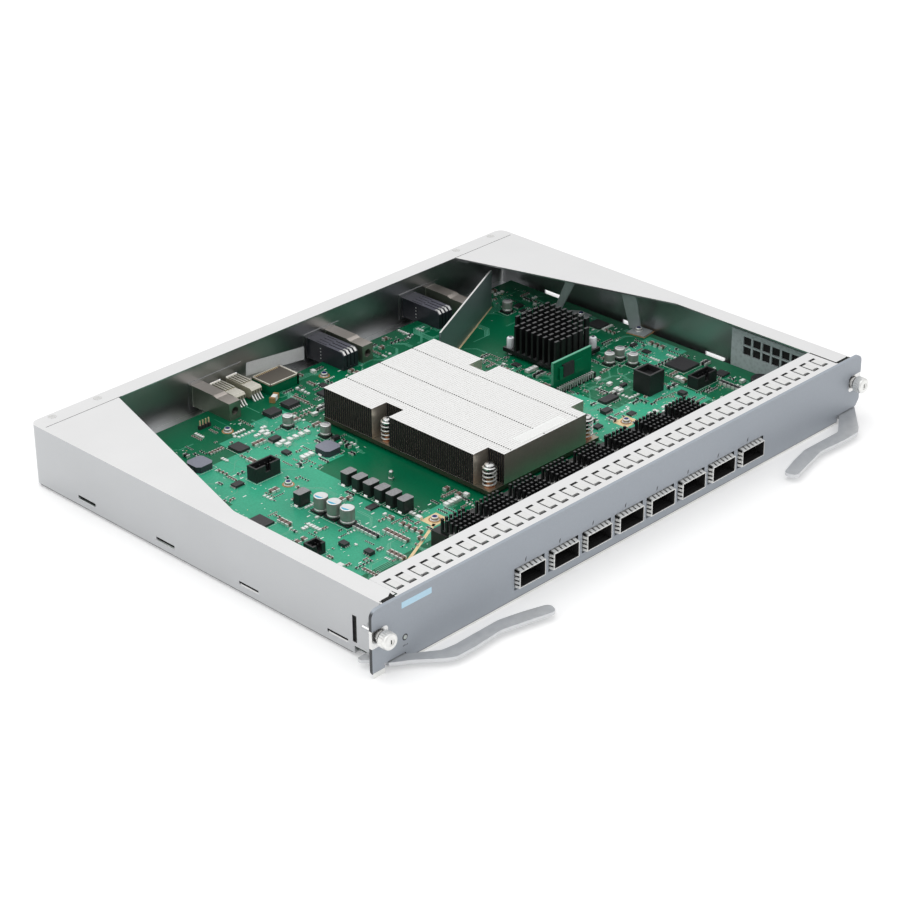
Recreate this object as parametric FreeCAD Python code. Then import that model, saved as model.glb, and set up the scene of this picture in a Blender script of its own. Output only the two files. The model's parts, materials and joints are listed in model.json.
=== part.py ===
import FreeCAD, Part
import math
import os

# Switch line card: an open folded-steel tray that carries a circuit board with eight
# optical module cages behind a painted front panel.
# Units are millimetres.  X runs along the front panel, the panel faces -Y, Z is up.
# While the pieces are built, y = 0 is the panel's front face and z = 0 the underside of
# the tray floor.  Each piece is then moved back by half the card's depth, so the origin
# ends up at the centre of the floor's underside.

V = FreeCAD.Vector
X_AXIS, Y_AXIS, Z_AXIS = V(1, 0, 0), V(0, 1, 0), V(0, 0, 1)

# ---- driving dimensions: shell ----
PANEL_WIDTH = 400.0
PANEL_TOP = 36.9            # top edge of the panel and of the tray
PANEL_THICK = 2.0
PANEL_CORNER = 4.5
LIP_DROP = 1.8              # the lip under the panel hangs this far below the floor
LIP_HEIGHT = 1.6
EAR_WIDTH = 8.5             # the panel passes each side wall by this much
CARD_DEPTH = 283.0
SHEET = 1.0                 # steel sheet of the tray, frame and rear panel
FRAME_TOP_DEPTH = 20.5      # depth of the slotted top flange behind the panel
FLANGE_GAP = 0.6
SIDE_FLANGE = 12.0          # width of the side flanges near the front
GUSSET_FRONT = 124.0        # where the side flanges start to widen
GUSSET_REACH = 54.5         # their width where they meet the rear strip
REAR_STRIP = 11.7
REAR_CORNER = 5.8

# ---- driving dimensions: tray details ----
TAB_LENGTH = 15.0           # lanced tabs that carry the board's side edges
TAB_REACH = 5.5
TAB_SLOT = 2.0
TAB_FIRST, TAB_LAST, TAB_COUNT = 33.8, 48.2, 4    # from the front and rear faces
WALL_SLOT_Y, WALL_SLOT_Z = (19.8, 22.8), (6.7, 22.2)
CLAW_NOTCH_END = 21.6
CLAW_NOTCH_TOP = 4.5

# ---- driving dimensions: circuit board ----
BOARD_TOP = 6.4
BOARD_THICK = 2.0
BOARD_SIDE_GAP = 4.3        # between the board's edge and the side wall
BOARD_FRONT = 5.0
BOARD_REAR_GAP = 14.6       # between the board's edge and the card's rear face
SCREW_R = 1.5
SCREW_CLEARANCE = 0.1
SCREW_HEAD_R = 2.9
SCREW_HEAD_H = 2.2
STANDOFF_R = 2.8
BOARD_SCREWS = [(-84.1, CARD_DEPTH - 42.8), (4.5, CARD_DEPTH - 29.9), (-103.3, 167.1),
                (-75.4, 80.2), (84.1, 81.0)]

# ---- driving dimensions: module ports ----
PORT_COUNT = 8
PORT_PITCH = 26.2
PORT_CENTRE = 5.0           # middle of the row of ports
CAGE_WIDTH, CAGE_HEIGHT, CAGE_SHEET = 19.6, 9.5, 0.6
CAGE_FRONT, CAGE_REAR = -2.6, 62.0
FINGER_WIDTH, FINGER_PROUD = 1.3, 1.4
PORT_CLEARANCE = 0.3
COOLER_WIDTH, COOLER_DEPTH, COOLER_Y = 17.2, 29.0, 27.0
COOLER_BASE, COOLER_HEIGHT = 1.8, 8.6
COOLER_COLUMN_COUNT, COOLER_ROW_COUNT = 3, 3
CLIP_SHEET, CLIP_WIDTH = 0.4, 2.0

# ---- driving dimensions: slotted top flange and its spring fingers ----
WINDOW_COUNT = 41
WINDOW_MARGIN = 26.8         # from the panel's end to the middle of the last slot
WINDOW_WIDTH = 5.2
WINDOW_Y = (5.8, 16.8)
SPRING_WIDTH, SPRING_SHEET, SPRING_RISE = 4.5, 0.3, 0.5
SPRING_DEPTH = 2.6          # how far the springs' rails lie below the flange

# ---- driving dimensions: main heatsink ----
SINK_X, SINK_Y = (-38.5, 52.5), (74.5, 207.0)
CHIP_HEIGHT = 1.8
SINK_BASE = 2.5
FIN_HEIGHT = 19.0
FIN_COUNT = 30
FIN_SHEET = 0.5
SINK_SCREW_SPAN = 80.0
SINK_SCREW_CENTRE = (7.2, 119.7)
SINK_NOTCH = 11.0

# ---- driving dimensions: levers and thumbscrews ----
LEVER_THICK = 2.0
LEVER_FLOOR_GAP = 0.3
PIVOT_INSET, PIVOT_Y = 19.0, 8.0      # from the panel's end, and behind its face
PIVOT_R = 2.0
PIVOT_CLEARANCE = 0.05
LEVER_BOSS_R = 4.6
LEVER_NOTCH_TOP = 3.7
THUMB_INSET, THUMB_Z = 6.1, 20.2
THUMB_SLOT_HALF = 5.0
THUMB_TRAVEL = 4.0
KNOB_R, KNOB_LENGTH = 4.8, 6.6
SHANK_R = 1.5
RETAINER_R, RETAINER_THICK = 2.0, 0.6

# ---- values that follow from them ----
HALF_PANEL = PANEL_WIDTH / 2
HALF_TRAY = HALF_PANEL - EAR_WIDTH
INNER_WALL = HALF_TRAY - SHEET
FRAME_REAR = PANEL_THICK + SHEET            # rear face of the steel frame's web
FLANGE_UNDER = PANEL_TOP - SHEET
STRIP_FRONT = CARD_DEPTH - REAR_STRIP
BOARD_UNDER = BOARD_TOP - BOARD_THICK
CAGE_TOP = BOARD_TOP + CAGE_HEIGHT
LIP_TOP = -LIP_DROP + LIP_HEIGHT
PORTS = [PORT_CENTRE + (i - (PORT_COUNT - 1) / 2) * PORT_PITCH for i in range(PORT_COUNT)]
BOARD_HALF = INNER_WALL - BOARD_SIDE_GAP
BOARD_REAR = CARD_DEPTH - BOARD_REAR_GAP
TAB_PITCH = (CARD_DEPTH - TAB_LAST - TAB_FIRST) / (TAB_COUNT - 1)
WINDOW_PITCH = (PANEL_WIDTH - 2 * WINDOW_MARGIN) / (WINDOW_COUNT - 1)
PIVOT_X = HALF_PANEL - PIVOT_INSET
THUMB_X = HALF_PANEL - THUMB_INSET


# ---- helpers ----
FLAT_RADIUS = 3.3                           # roundings below this are drawn with flats


def block(x0, x1, y0, y1, z0, z1):
    """A box between two corners."""
    return Part.makeBox(x1 - x0, y1 - y0, z1 - z0, V(x0, y0, z0))


def rod(radius, base, length, axis=Z_AXIS):
    """A cylinder."""
    return Part.makeCylinder(radius, length, base, axis)


def rounding(start, middle, end, centre, radius):
    """Edges that round a corner: an arc, or a few flats where the radius is small."""
    if radius >= FLAT_RADIUS:
        return [Part.Arc(start, middle, end).toShape()]
    points = [start]
    for pair in ((start, middle), (middle, end)):
        halfway = (pair[0] + pair[1]) * 0.5 - centre
        points += [centre + halfway.normalize() * radius, pair[1]]
    return [Part.LineSegment(a, b).toShape() for a, b in zip(points, points[1:])]


def rounded_wire(corners, place):
    """A closed wire through corners (u, v, radius); place turns (u, v) into a point."""
    points = [V(u, v, 0) for u, v, _ in corners]
    edges, previous_end, first_start = [], None, None
    for i, (_, _, radius) in enumerate(corners):
        corner = points[i]
        back = (points[i - 1] - corner).normalize()
        ahead = (points[(i + 1) % len(points)] - corner).normalize()
        if radius > 0:
            half = math.acos(max(-1.0, min(1.0, back.dot(ahead)))) / 2
            start = corner + back * (radius / math.tan(half))
            end = corner + ahead * (radius / math.tan(half))
            inward = (back + ahead).normalize()
            centre = corner + inward * (radius / math.sin(half))
            middle = centre - inward * radius
        else:
            start = end = corner
        if previous_end is not None and (start - previous_end).Length > 1e-6:
            edges.append(Part.LineSegment(place(previous_end), place(start)).toShape())
        if radius > 0:
            edges += rounding(place(start), place(middle), place(end), place(centre), radius)
        first_start = start if first_start is None else first_start
        previous_end = end
    if (first_start - previous_end).Length > 1e-6:
        edges.append(Part.LineSegment(place(previous_end), place(first_start)).toShape())
    return Part.Wire(edges)


def plate_z(corners, z0, z1):
    """An outline in plan, extruded upwards."""
    wire = rounded_wire(corners, lambda p: V(p.x, p.y, z0))
    return Part.Face(wire).extrude(V(0, 0, z1 - z0))


def plate_y(corners, y0, y1):
    """An outline seen from the front (x, z), extruded rearwards."""
    wire = rounded_wire(corners, lambda p: V(p.x, y0, p.y))
    return Part.Face(wire).extrude(V(0, y1 - y0, 0))


def plate_x(corners, x0, x1):
    """An outline seen from the side (y, z), extruded along x."""
    wire = rounded_wire(corners, lambda p: V(x0, p.x, p.y))
    return Part.Face(wire).extrude(V(x1 - x0, 0, 0))


def faceted(profile, centre, sides, axis=Z_AXIS):
    """A many-sided solid round an axis, from (radius, height) points, low end first."""
    side = X_AXIS
    other = axis.cross(side)
    step = 2 * math.pi / sides
    rings = [[centre + axis * h + side * (r * math.cos(k * step)) + other * (r * math.sin(k * step))
              for k in range(sides)] for r, h in profile]
    faces = [Part.Face(Part.makePolygon(ring + ring[:1])) for ring in (rings[0], rings[-1])]
    for low, high in zip(rings, rings[1:]):
        for k in range(sides):
            n = (k + 1) % sides
            faces.append(Part.Face(Part.makePolygon([low[k], low[n], high[n], high[k], low[k]])))
    solid = Part.makeSolid(Part.makeShell(faces))
    return solid if solid.Volume > 0 else solid.reversed()


def screw_hole(x, y, z0, depth, sides=8):
    """Cutter for a clearance hole; its flats stay clear of the shank."""
    r = (SCREW_R + SCREW_CLEARANCE) / math.cos(math.pi / sides)
    return faceted([(r, 0), (r, depth)], V(x, y, z0), sides)


def fuse(shapes):
    """One solid from overlapping or touching shapes."""
    return shapes[0].multiFuse(shapes[1:]).removeSplitter()


def group(shapes):
    """Separate solids kept together."""
    return Part.makeCompound(shapes)


def mirrored(shape):
    """The copy on the other side of the card's middle plane."""
    return shape.mirror(V(0, 0, 0), X_AXIS)


def coil(centre, radius, wire, height, turns, steps=5):
    """An upright spring of square wire, as a closed shell of flat facets."""
    rings = []
    count = int(turns * steps)
    for i in range(count + 1):
        angle = 2 * math.pi * i / steps
        z = wire / 2 + (height - wire) * i / count
        out = V(math.cos(angle), math.sin(angle), 0)
        rings.append([centre + out * (radius + a * wire / 2) + V(0, 0, z + b * wire / 2)
                      for a, b in ((-1, -1), (1, -1), (1, 1), (-1, 1))])
    faces = [Part.Face(Part.makePolygon(ring + ring[:1])) for ring in (rings[0], rings[-1])]
    for low, high in zip(rings, rings[1:]):
        for k in range(4):
            n = (k + 1) % 4
            for corner in ((low[k], low[n], high[n]), (low[k], high[n], high[k])):
                faces.append(Part.Face(Part.makePolygon(list(corner) + [corner[0]])))
    solid = Part.makeSolid(Part.makeShell(faces))
    return solid if solid.Volume > 0 else solid.reversed()


def pin_field(x0, x1, y0, y1, z0, z1, nx, ny, fill_x=0.5, fill_y=0.5):
    """A grid of square cooling pins that fills a rectangle."""
    pitch_x = (x1 - x0) / (nx - 1 + fill_x)
    pitch_y = (y1 - y0) / (ny - 1 + fill_y)
    return [block(x0 + i * pitch_x, x0 + (i + fill_x) * pitch_x,
                  y0 + j * pitch_y, y0 + (j + fill_y) * pitch_y, z0, z1)
            for i in range(nx) for j in range(ny)]


# ---- shell ----
def make_tray():
    """Floor, side walls and gusseted top flanges, folded from one sheet."""
    wall_end = CARD_DEPTH - REAR_CORNER
    corner = REAR_CORNER - SHEET
    inner_rear = CARD_DEPTH - SHEET
    floor = plate_z([(-HALF_TRAY, FRAME_REAR, 0), (HALF_TRAY, FRAME_REAR, 0),
                     (HALF_TRAY, wall_end, 0), (INNER_WALL, wall_end, 0),
                     (INNER_WALL, inner_rear, corner), (-INNER_WALL, inner_rear, corner),
                     (-INNER_WALL, wall_end, 0), (-HALF_TRAY, wall_end, 0)], 0, SHEET)
    wall = block(INNER_WALL, HALF_TRAY, FRAME_REAR, wall_end, 0, PANEL_TOP)
    lap = 9.0                                # how far the flange runs on under the strip
    front_x = HALF_TRAY - SIDE_FLANGE
    rear_x = HALF_TRAY - GUSSET_REACH
    slope = (front_x - rear_x) / (STRIP_FRONT - GUSSET_FRONT)
    flange = plate_z([(front_x, FRAME_REAR + 1, 0), (HALF_TRAY, FRAME_REAR + 1, 2.5),
                      (HALF_TRAY, STRIP_FRONT, 0), (rear_x, STRIP_FRONT, 0),
                      (front_x, GUSSET_FRONT, 12)], FLANGE_UNDER, PANEL_TOP)
    joggle = plate_z([(rear_x + lap * slope, STRIP_FRONT - lap, 0),
                      (INNER_WALL + SHEET / 2, STRIP_FRONT - lap, 0),
                      (INNER_WALL + SHEET / 2, wall_end, 0), (INNER_WALL, wall_end, 0),
                      (INNER_WALL, inner_rear, corner), (rear_x, inner_rear, 0),
                      (rear_x, STRIP_FRONT, 0)], FLANGE_UNDER - SHEET, FLANGE_UNDER)
    side = fuse([wall, flange, joggle])
    cuts = [block(INNER_WALL - 1, HALF_TRAY + 1, *WALL_SLOT_Y, *WALL_SLOT_Z),
            block(INNER_WALL - 1, HALF_TRAY + 1, STRIP_FRONT, CARD_DEPTH, FLANGE_UNDER, PANEL_TOP + 1),
            block(INNER_WALL - 2, HALF_TRAY + 1, 0, CLAW_NOTCH_END, -1, CLAW_NOTCH_TOP)]
    tabs = []
    for i in range(TAB_COUNT):
        y0 = TAB_FIRST + i * TAB_PITCH - TAB_LENGTH / 2
        cuts.append(block(INNER_WALL - 1, HALF_TRAY + 1, y0, y0 + TAB_LENGTH,
                          BOARD_UNDER, BOARD_UNDER + TAB_SLOT))
        tabs.append(block(INNER_WALL - TAB_REACH, INNER_WALL, y0 + 0.5, y0 + TAB_LENGTH - 0.5,
                          BOARD_UNDER - SHEET, BOARD_UNDER))
    for x in REAR_SCREW_X:
        cuts.append(screw_hole(x, REAR_SCREW_Y, 0, PANEL_TOP * 2))
    right = fuse([side.cut(group(cuts))] + tabs)
    corner_cut = block(INNER_WALL - 2, HALF_TRAY + 1, 0, CLAW_NOTCH_END, -1, CLAW_NOTCH_TOP)
    floor = floor.cut(group([corner_cut, mirrored(corner_cut)]))
    return fuse([floor, right, mirrored(right)])


REAR_SCREW_X = (HALF_TRAY - 45.5, HALF_TRAY - 13.5)
REAR_SCREW_Y = CARD_DEPTH - 3.8
REAR_HEAD_R = 2.7
REAR_WINDOWS = ((-76.2, -38.0, BOARD_UNDER, 19.2), (-37.0, -12.5, 1.8, 7.2),
                (16.0, 42.4, BOARD_UNDER, 19.2), (98.2, 130.0, BOARD_UNDER, 19.2))


def rear_outline(inset):
    """Plan outline of the rear panel, moved in by an inset, from its bend line back."""
    x, y = HALF_TRAY - inset, CARD_DEPTH - inset
    radius = REAR_CORNER - inset
    return [(-x, CARD_DEPTH - REAR_CORNER, 0), (x, CARD_DEPTH - REAR_CORNER, 0),
            (x, y, radius * 0.999), (-x, y, radius * 0.999)]


def make_rear_panel():
    """Rear wall with rounded ends, connector cut-outs and the screwed top strip."""
    shell = plate_z(rear_outline(0), 0, PANEL_TOP)
    hollow = plate_z(rear_outline(SHEET), -1, FLANGE_UNDER)
    strip = block(-HALF_TRAY, HALF_TRAY, STRIP_FRONT, CARD_DEPTH - REAR_CORNER,
                  FLANGE_UNDER, PANEL_TOP)
    cuts = []
    for x0, x1, z0, z1 in REAR_WINDOWS:
        cuts.append(block(x0, x1, CARD_DEPTH - 3, CARD_DEPTH + 1, z0, z1))
    for x in REAR_SCREW_X:
        for side in (-1, 1):
            base = V(side * x, REAR_SCREW_Y, FLANGE_UNDER)
            cuts.append(faceted([(SCREW_R + SCREW_CLEARANCE, 0), (REAR_HEAD_R, SHEET)], base, 8))
    return fuse([shell.cut(hollow), strip]).cut(group(cuts))


def make_rear_screws():
    """Countersunk screws that hold the rear strip down on the gusset flanges."""
    screws = []
    for x in REAR_SCREW_X:
        for side in (-1, 1):
            screws.append(faceted([(SCREW_R, -3.2), (SCREW_R, 0), (REAR_HEAD_R - 0.04, SHEET)],
                                  V(side * x, REAR_SCREW_Y, FLANGE_UNDER), 8))
    return group(screws)


LEFT_NOTCH = (-HALF_PANEL + 8.4, -HALF_PANEL + 23.0)   # where the left lever leaves the panel
RIGHT_NOTCH = HALF_PANEL - 20.5                        # the right one is open to the end


def port_openings(y0, y1, margin):
    """Cutters for the eight port cut-outs."""
    reach = CAGE_WIDTH / 2 + FINGER_PROUD + margin
    z0 = BOARD_TOP - FINGER_PROUD - margin
    z1 = CAGE_TOP + FINGER_PROUD + margin
    return [block(x - reach, x + reach, y0, y1, z0, z1) for x in PORTS]


LIGHT_X, LIGHT_Z, LIGHT_R = -HALF_PANEL + 22.6, 12.6, 1.3


def light_hole(depth):
    """Cutter for the light pipe's hole; its flats stay clear of the pipe."""
    return faceted([(LIGHT_R, 0), (LIGHT_R, depth + 2)], V(LIGHT_X, -1, LIGHT_Z), 12, Y_AXIS)


def make_front_panel():
    """Painted front panel with port cut-outs, lever notches and fastener slots."""
    x, c = HALF_PANEL, PANEL_CORNER
    x0, x1 = LEFT_NOTCH
    face = plate_y([(-x, -LIP_DROP, c), (x0, -LIP_DROP, 0), (x0, LEVER_NOTCH_TOP, 0),
                    (x1, LEVER_NOTCH_TOP, 0), (x1, LIP_TOP, 0), (RIGHT_NOTCH, LIP_TOP, 0),
                    (RIGHT_NOTCH, LEVER_NOTCH_TOP, 0), (x - 3, LEVER_NOTCH_TOP, 1.5),
                    (x, LEVER_NOTCH_TOP + 4, 2), (x, PANEL_TOP, c), (-x, PANEL_TOP, c)],
                   0, PANEL_THICK)
    cuts = port_openings(-1, PANEL_THICK + 1, PORT_CLEARANCE)
    slot_x = THUMB_X - THUMB_SLOT_HALF
    slot = plate_y([(slot_x, THUMB_Z - THUMB_SLOT_HALF, 2), (x + 4, THUMB_Z - THUMB_SLOT_HALF, 0),
                    (x + 4, THUMB_Z + THUMB_SLOT_HALF, 0), (slot_x, THUMB_Z + THUMB_SLOT_HALF, 2)],
                   -1, PANEL_THICK + 1)
    cuts += [slot, mirrored(slot), light_hole(PANEL_THICK)]
    return face.cut(group(cuts))


def windows():
    """Left edge of each slot in the top flange."""
    first = -(WINDOW_COUNT - 1) / 2 * WINDOW_PITCH
    return [first + i * WINDOW_PITCH - 0.6 for i in range(WINDOW_COUNT)]


def make_front_frame():
    """Steel frame behind the panel: web, slotted top flange and bottom lip."""
    half_web = HALF_TRAY - 0.2
    x0, x1 = LEFT_NOTCH
    web = plate_y([(-half_web, LEVER_NOTCH_TOP, 0), (x1, LEVER_NOTCH_TOP, 0), (x1, LIP_TOP, 0),
                   (RIGHT_NOTCH, LIP_TOP, 0), (RIGHT_NOTCH, LEVER_NOTCH_TOP, 0),
                   (half_web, LEVER_NOTCH_TOP, 0), (half_web, PANEL_TOP, 0),
                   (-half_web, PANEL_TOP, 0)], PANEL_THICK, FRAME_REAR)
    lip = plate_x([(0, -LIP_DROP, 0.7), (FRAME_REAR, -LIP_DROP, 0), (FRAME_REAR, LIP_TOP, 0),
                   (0, LIP_TOP, 0)], x1, RIGHT_NOTCH)
    top_half = HALF_TRAY - SIDE_FLANGE - FLANGE_GAP
    top = block(-top_half, top_half, PANEL_THICK, FRAME_REAR + FRAME_TOP_DEPTH,
                FLANGE_UNDER, PANEL_TOP)
    cuts = port_openings(0, FRAME_REAR + 1, PORT_CLEARANCE)
    cuts += [block(x - WINDOW_WIDTH / 2, x + WINDOW_WIDTH / 2, *WINDOW_Y,
                   FLANGE_UNDER - 1, PANEL_TOP + 1) for x in windows()]
    cuts.append(light_hole(FRAME_REAR))
    return fuse([web, lip, top]).cut(group(cuts))


def make_gasket_fingers():
    """Spring-finger strip under the slotted flange, one arch per slot between two rails."""
    t = SPRING_SHEET
    y0, y1 = WINDOW_Y
    foot = FLANGE_UNDER - SPRING_DEPTH
    crest = PANEL_TOP + SPRING_RISE
    front, rear = y0 + 0.9, y1 - 1.6         # where the legs of an arch stand
    lean = 0.7
    arch = [(front, foot, 0), (front + lean, crest, 0), (rear - lean, crest, 0), (rear, foot, 0),
            (rear - t, foot, 0), (rear - lean - t, crest - t, 0), (front + lean + t, crest - t, 0),
            (front + t, foot, 0)]
    xs = windows()
    x0, x1 = xs[0] - 3, xs[-1] + 3
    rear_end = y1 + 2.6
    rails = [block(x0, x1, FRAME_REAR, front + t, foot - t, foot),
             block(x0, x1, rear - t, rear_end, foot - t, foot),
             block(x0, x1, rear_end - t, rear_end, foot, FLANGE_UNDER)]
    fingers = [plate_x(arch, x - SPRING_WIDTH / 2, x + SPRING_WIDTH / 2) for x in xs]
    return fuse(rails + fingers)


def make_vent_bracket():
    """Galvanised bracket beside the right wall with two rows of square holes."""
    x0 = BOARD_HALF + 0.4
    y0, y1 = 26.0, 85.7
    z0, z1 = SHEET, 31.0
    plate = block(x0, x0 + SHEET, y0, y1, z0, z1)
    top = block(x0, INNER_WALL, y0, y1, z1 - SHEET, z1)
    foot = block(x0, INNER_WALL, y0, y1, z0, z0 + SHEET)
    holes = [block(x0 - 1, x0 + SHEET + 1, 76.7 - 7.2 * i - 5.8, 76.7 - 7.2 * i,
                   15.9 + 6.5 * j, 15.9 + 6.5 * j + 5.4) for i in range(6) for j in range(2)]
    clear = [block(x0 - 1, INNER_WALL + 1, TAB_FIRST + TAB_PITCH * i - TAB_LENGTH / 2 - 0.5,
                   TAB_FIRST + TAB_PITCH * i + TAB_LENGTH / 2 + 0.5, -1, BOARD_TOP + 0.3)
             for i in range(2)]
    return fuse([plate, top, foot]).cut(group(holes + clear))


def make_air_baffle():
    """Upright plate that steers air past the pin heatsink, with a folded foot."""
    start, end = V(147.0, CARD_DEPTH - 33.0, 0), V(57.5, CARD_DEPTH - 75.5, 0)
    along = (end - start).normalize()
    across = V(-along.y, along.x, 0)
    length = (end - start).Length
    foot_length = length - 4.0
    top = 31.8
    flat = [(0, BOARD_TOP), (length, BOARD_TOP), (length, top), (0, top)]
    points = [start + along * u + V(0, 0, w) for u, w in flat]
    upright = Part.Face(Part.makePolygon(points + points[:1])).extrude(across * SHEET)
    corners = [start + along * 10, start + along * foot_length,
               start + along * (foot_length - 3) + across * 5, start + along * 13 + across * 5]
    base = [p + V(0, 0, BOARD_TOP) for p in corners]
    foot = Part.Face(Part.makePolygon(base + base[:1])).extrude(V(0, 0, SHEET))
    return fuse([upright, foot])


def make_brace(y0, top_x, foot_x):
    """Strap from the edge of the side flange down to the board, with a screw hole."""
    width = 10.0
    z = BOARD_TOP
    t = SHEET
    side = [(foot_x - 2, z, 0), (foot_x + 8, z, 0), (foot_x + 8, z + t, 0),
            (foot_x, z + t, 0), (top_x + 1, FLANGE_UNDER - t, 0), (top_x + 8, FLANGE_UNDER - t, 0),
            (top_x + 8, FLANGE_UNDER, 0), (top_x, FLANGE_UNDER, 0),
            (foot_x - 1.4, z + t, 0)]
    strap = plate_y(side, y0, y0 + width)
    return strap.cut(screw_hole(foot_x + 5, y0 + width / 2, z - 1, 3))


BRACES = ((151.0, HALF_TRAY - 20.5, HALF_TRAY - 13.5),          # y, top x, foot x
          (192.0, HALF_TRAY - 32.0, HALF_TRAY - 21.5))


# ---- board ----
def board_screw_places():
    """Board screws in the open, then the two that also hold the braces."""
    plain = [(x, y, BOARD_TOP) for x, y in BOARD_SCREWS]
    return plain + [(foot_x + 5, y0 + 5, BOARD_TOP + SHEET) for y0, _, foot_x in BRACES]


def make_circuit_board():
    """The main board, drilled for its screws and the heatsink's spring screws."""
    board = plate_z([(-BOARD_HALF, BOARD_FRONT, 0), (BOARD_HALF, BOARD_FRONT, 0),
                     (BOARD_HALF, BOARD_REAR, 0), (-BOARD_HALF, BOARD_REAR, 0)],
                    BOARD_UNDER, BOARD_TOP)
    places = [(x, y) for x, y, _ in board_screw_places()] + sink_screw_places()
    holes = [screw_hole(x, y, BOARD_UNDER - 1, BOARD_THICK + 2) for x, y in places]
    return board.cut(group(holes))


def make_board_standoffs():
    """Threaded posts between the tray floor and the board."""
    posts = []
    for x, y, _ in board_screw_places():
        post = faceted([(STANDOFF_R, 0), (STANDOFF_R, BOARD_UNDER - SHEET)], V(x, y, SHEET), 6)
        posts.append(post.cut(screw_hole(x, y, SHEET + 0.6, BOARD_THICK * 2, 6)))
    return group(posts)


def make_board_screws():
    """Pan-head screws through the board into the posts."""
    screws = []
    for x, y, z in board_screw_places():
        depth = z - BOARD_UNDER + 2.2
        profile = [(SCREW_R, -depth), (SCREW_R, 0), (SCREW_HEAD_R, 0),
                   (SCREW_HEAD_R * 0.9, SCREW_HEAD_H)]
        screws.append(faceted(profile, V(x, y, z), 8))
    return group(screws)


# ---- main heatsink ----
SINK_FOOT = BOARD_TOP + CHIP_HEIGHT
FIN_FOOT = SINK_FOOT + SINK_BASE
SINK_TOP = FIN_FOOT + FIN_HEIGHT
SINK_HEAD_R = 3.3
SINK_SPRING_HEIGHT = 11.0


def sink_screw_places():
    """Corners of the square of spring screws round the switch chip."""
    cx, cy = SINK_SCREW_CENTRE
    h = SINK_SCREW_SPAN / 2
    return [(cx + i * h, cy + j * h) for i in (-1, 1) for j in (-1, 1)]


def make_heatsink_base():
    """Flat plate under the fins, drilled for the spring screws."""
    (x0, x1), (y0, y1) = SINK_X, SINK_Y
    plate = block(x0, x1, y0, y1, SINK_FOOT, FIN_FOOT)
    holes = [screw_hole(x, y, SINK_FOOT - 1, SINK_BASE + 2) for x, y in sink_screw_places()]
    return plate.cut(group(holes))


def make_heatsink_fins():
    """Stack of folded fins: air passes along X, folded edges close the top and bottom."""
    (x0, x1), (y0, y1) = SINK_X, SINK_Y
    stack = block(x0, x1, y0, y1, FIN_FOOT, SINK_TOP)
    half = SINK_NOTCH / 2 + 0.6
    notches = [block(x - half, x + half, y - half, y + half, FIN_FOOT - 1, SINK_TOP + 1)
               for x, y in sink_screw_places()]
    pitch = (y1 - y0) / FIN_COUNT
    tunnels = [block(x0 - 1, x1 + 1, y0 + i * pitch + FIN_SHEET, y0 + (i + 1) * pitch,
                     FIN_FOOT + FIN_SHEET, SINK_TOP - FIN_SHEET) for i in range(FIN_COUNT - 1)]
    return stack.cut(group(notches)).cut(group(tunnels))


def make_heatsink_screws():
    """Shouldered spring screws."""
    z0 = BOARD_UNDER - 2.5
    screws = []
    for x, y in sink_screw_places():
        h0 = FIN_FOOT + SINK_SPRING_HEIGHT - z0
        profile = [(SCREW_R, 0), (SCREW_R, h0), (SINK_HEAD_R, h0), (SINK_HEAD_R, h0 + 2.2),
                   (SINK_HEAD_R - 0.7, h0 + 3.0)]
        screws.append(faceted(profile, V(x, y, z0), 8))
    return group(screws)


def make_heatsink_springs():
    """Compression springs under the heads of the spring screws."""
    return group([coil(V(x, y, FIN_FOOT), 2.5, 0.8, SINK_SPRING_HEIGHT, 3)
                  for x, y in sink_screw_places()])


def make_switch_chip():
    """Large ball-grid package under the main heatsink."""
    cx, cy = SINK_SCREW_CENTRE
    body = block(cx - 22.5, cx + 22.5, cy - 22.5, cy + 22.5, BOARD_TOP, BOARD_TOP + 1.0)
    lid = block(cx - 19, cx + 19, cy - 19, cy + 19, BOARD_TOP + 1.0, SINK_FOOT)
    return fuse([body, lid])


# ---- pin heatsink, daughter board ----
PIN_SINK_X, PIN_SINK_Y = (101.5, 142.5), (152.5, 196.0)
PIN_SINK_BASE, PIN_SINK_TOP = 2.6, 28.0
BRIDGE_CHIP_HEIGHT = 2.0
PUSH_PIN_R = 1.5


def make_pin_heatsink():
    """Cross-cut heatsink, cleared at two corners for its push pins."""
    (x0, x1), (y0, y1) = PIN_SINK_X, PIN_SINK_Y
    z0 = BOARD_TOP + BRIDGE_CHIP_HEIGHT
    base = block(x0, x1, y0, y1, z0, z0 + PIN_SINK_BASE)
    pins = pin_field(x0, x1, y0 + 1, y1 - 1, z0 + PIN_SINK_BASE - 0.2, PIN_SINK_TOP, 5, 6, 0.6)
    holes = [screw_hole(x, y, z0 - 1, 6) for x, y in push_pin_places()]
    reach = 4.2
    clear = [block(x - reach, x + reach, y - reach, y + reach, z0 + PIN_SINK_BASE, PIN_SINK_TOP + 1)
             for x, y in push_pin_places()]
    return fuse([base] + pins).cut(group(holes + clear))


def push_pin_places():
    """Push pins stand at two opposite corners."""
    return [(PIN_SINK_X[0] + 3.0, PIN_SINK_Y[1] - 3.5), (PIN_SINK_X[1] - 3.0, PIN_SINK_Y[0] + 3.5)]


def make_push_pins():
    """Plastic push pins with a round head."""
    z0 = BOARD_TOP
    z1 = BOARD_TOP + BRIDGE_CHIP_HEIGHT + PIN_SINK_BASE
    profile = [(PUSH_PIN_R, z0), (PUSH_PIN_R, z1 + 5), (2.6, z1 + 5), (2.6, z1 + 6.2), (1.6, z1 + 7)]
    return group([faceted(profile, V(x, y, 0), 8) for x, y in push_pin_places()])


def make_bridge_chip():
    """Package under the pin heatsink."""
    cx, cy = sum(PIN_SINK_X) / 2, sum(PIN_SINK_Y) / 2
    return block(cx - 15, cx + 15, cy - 15, cy + 15, BOARD_TOP, BOARD_TOP + BRIDGE_CHIP_HEIGHT)


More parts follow.
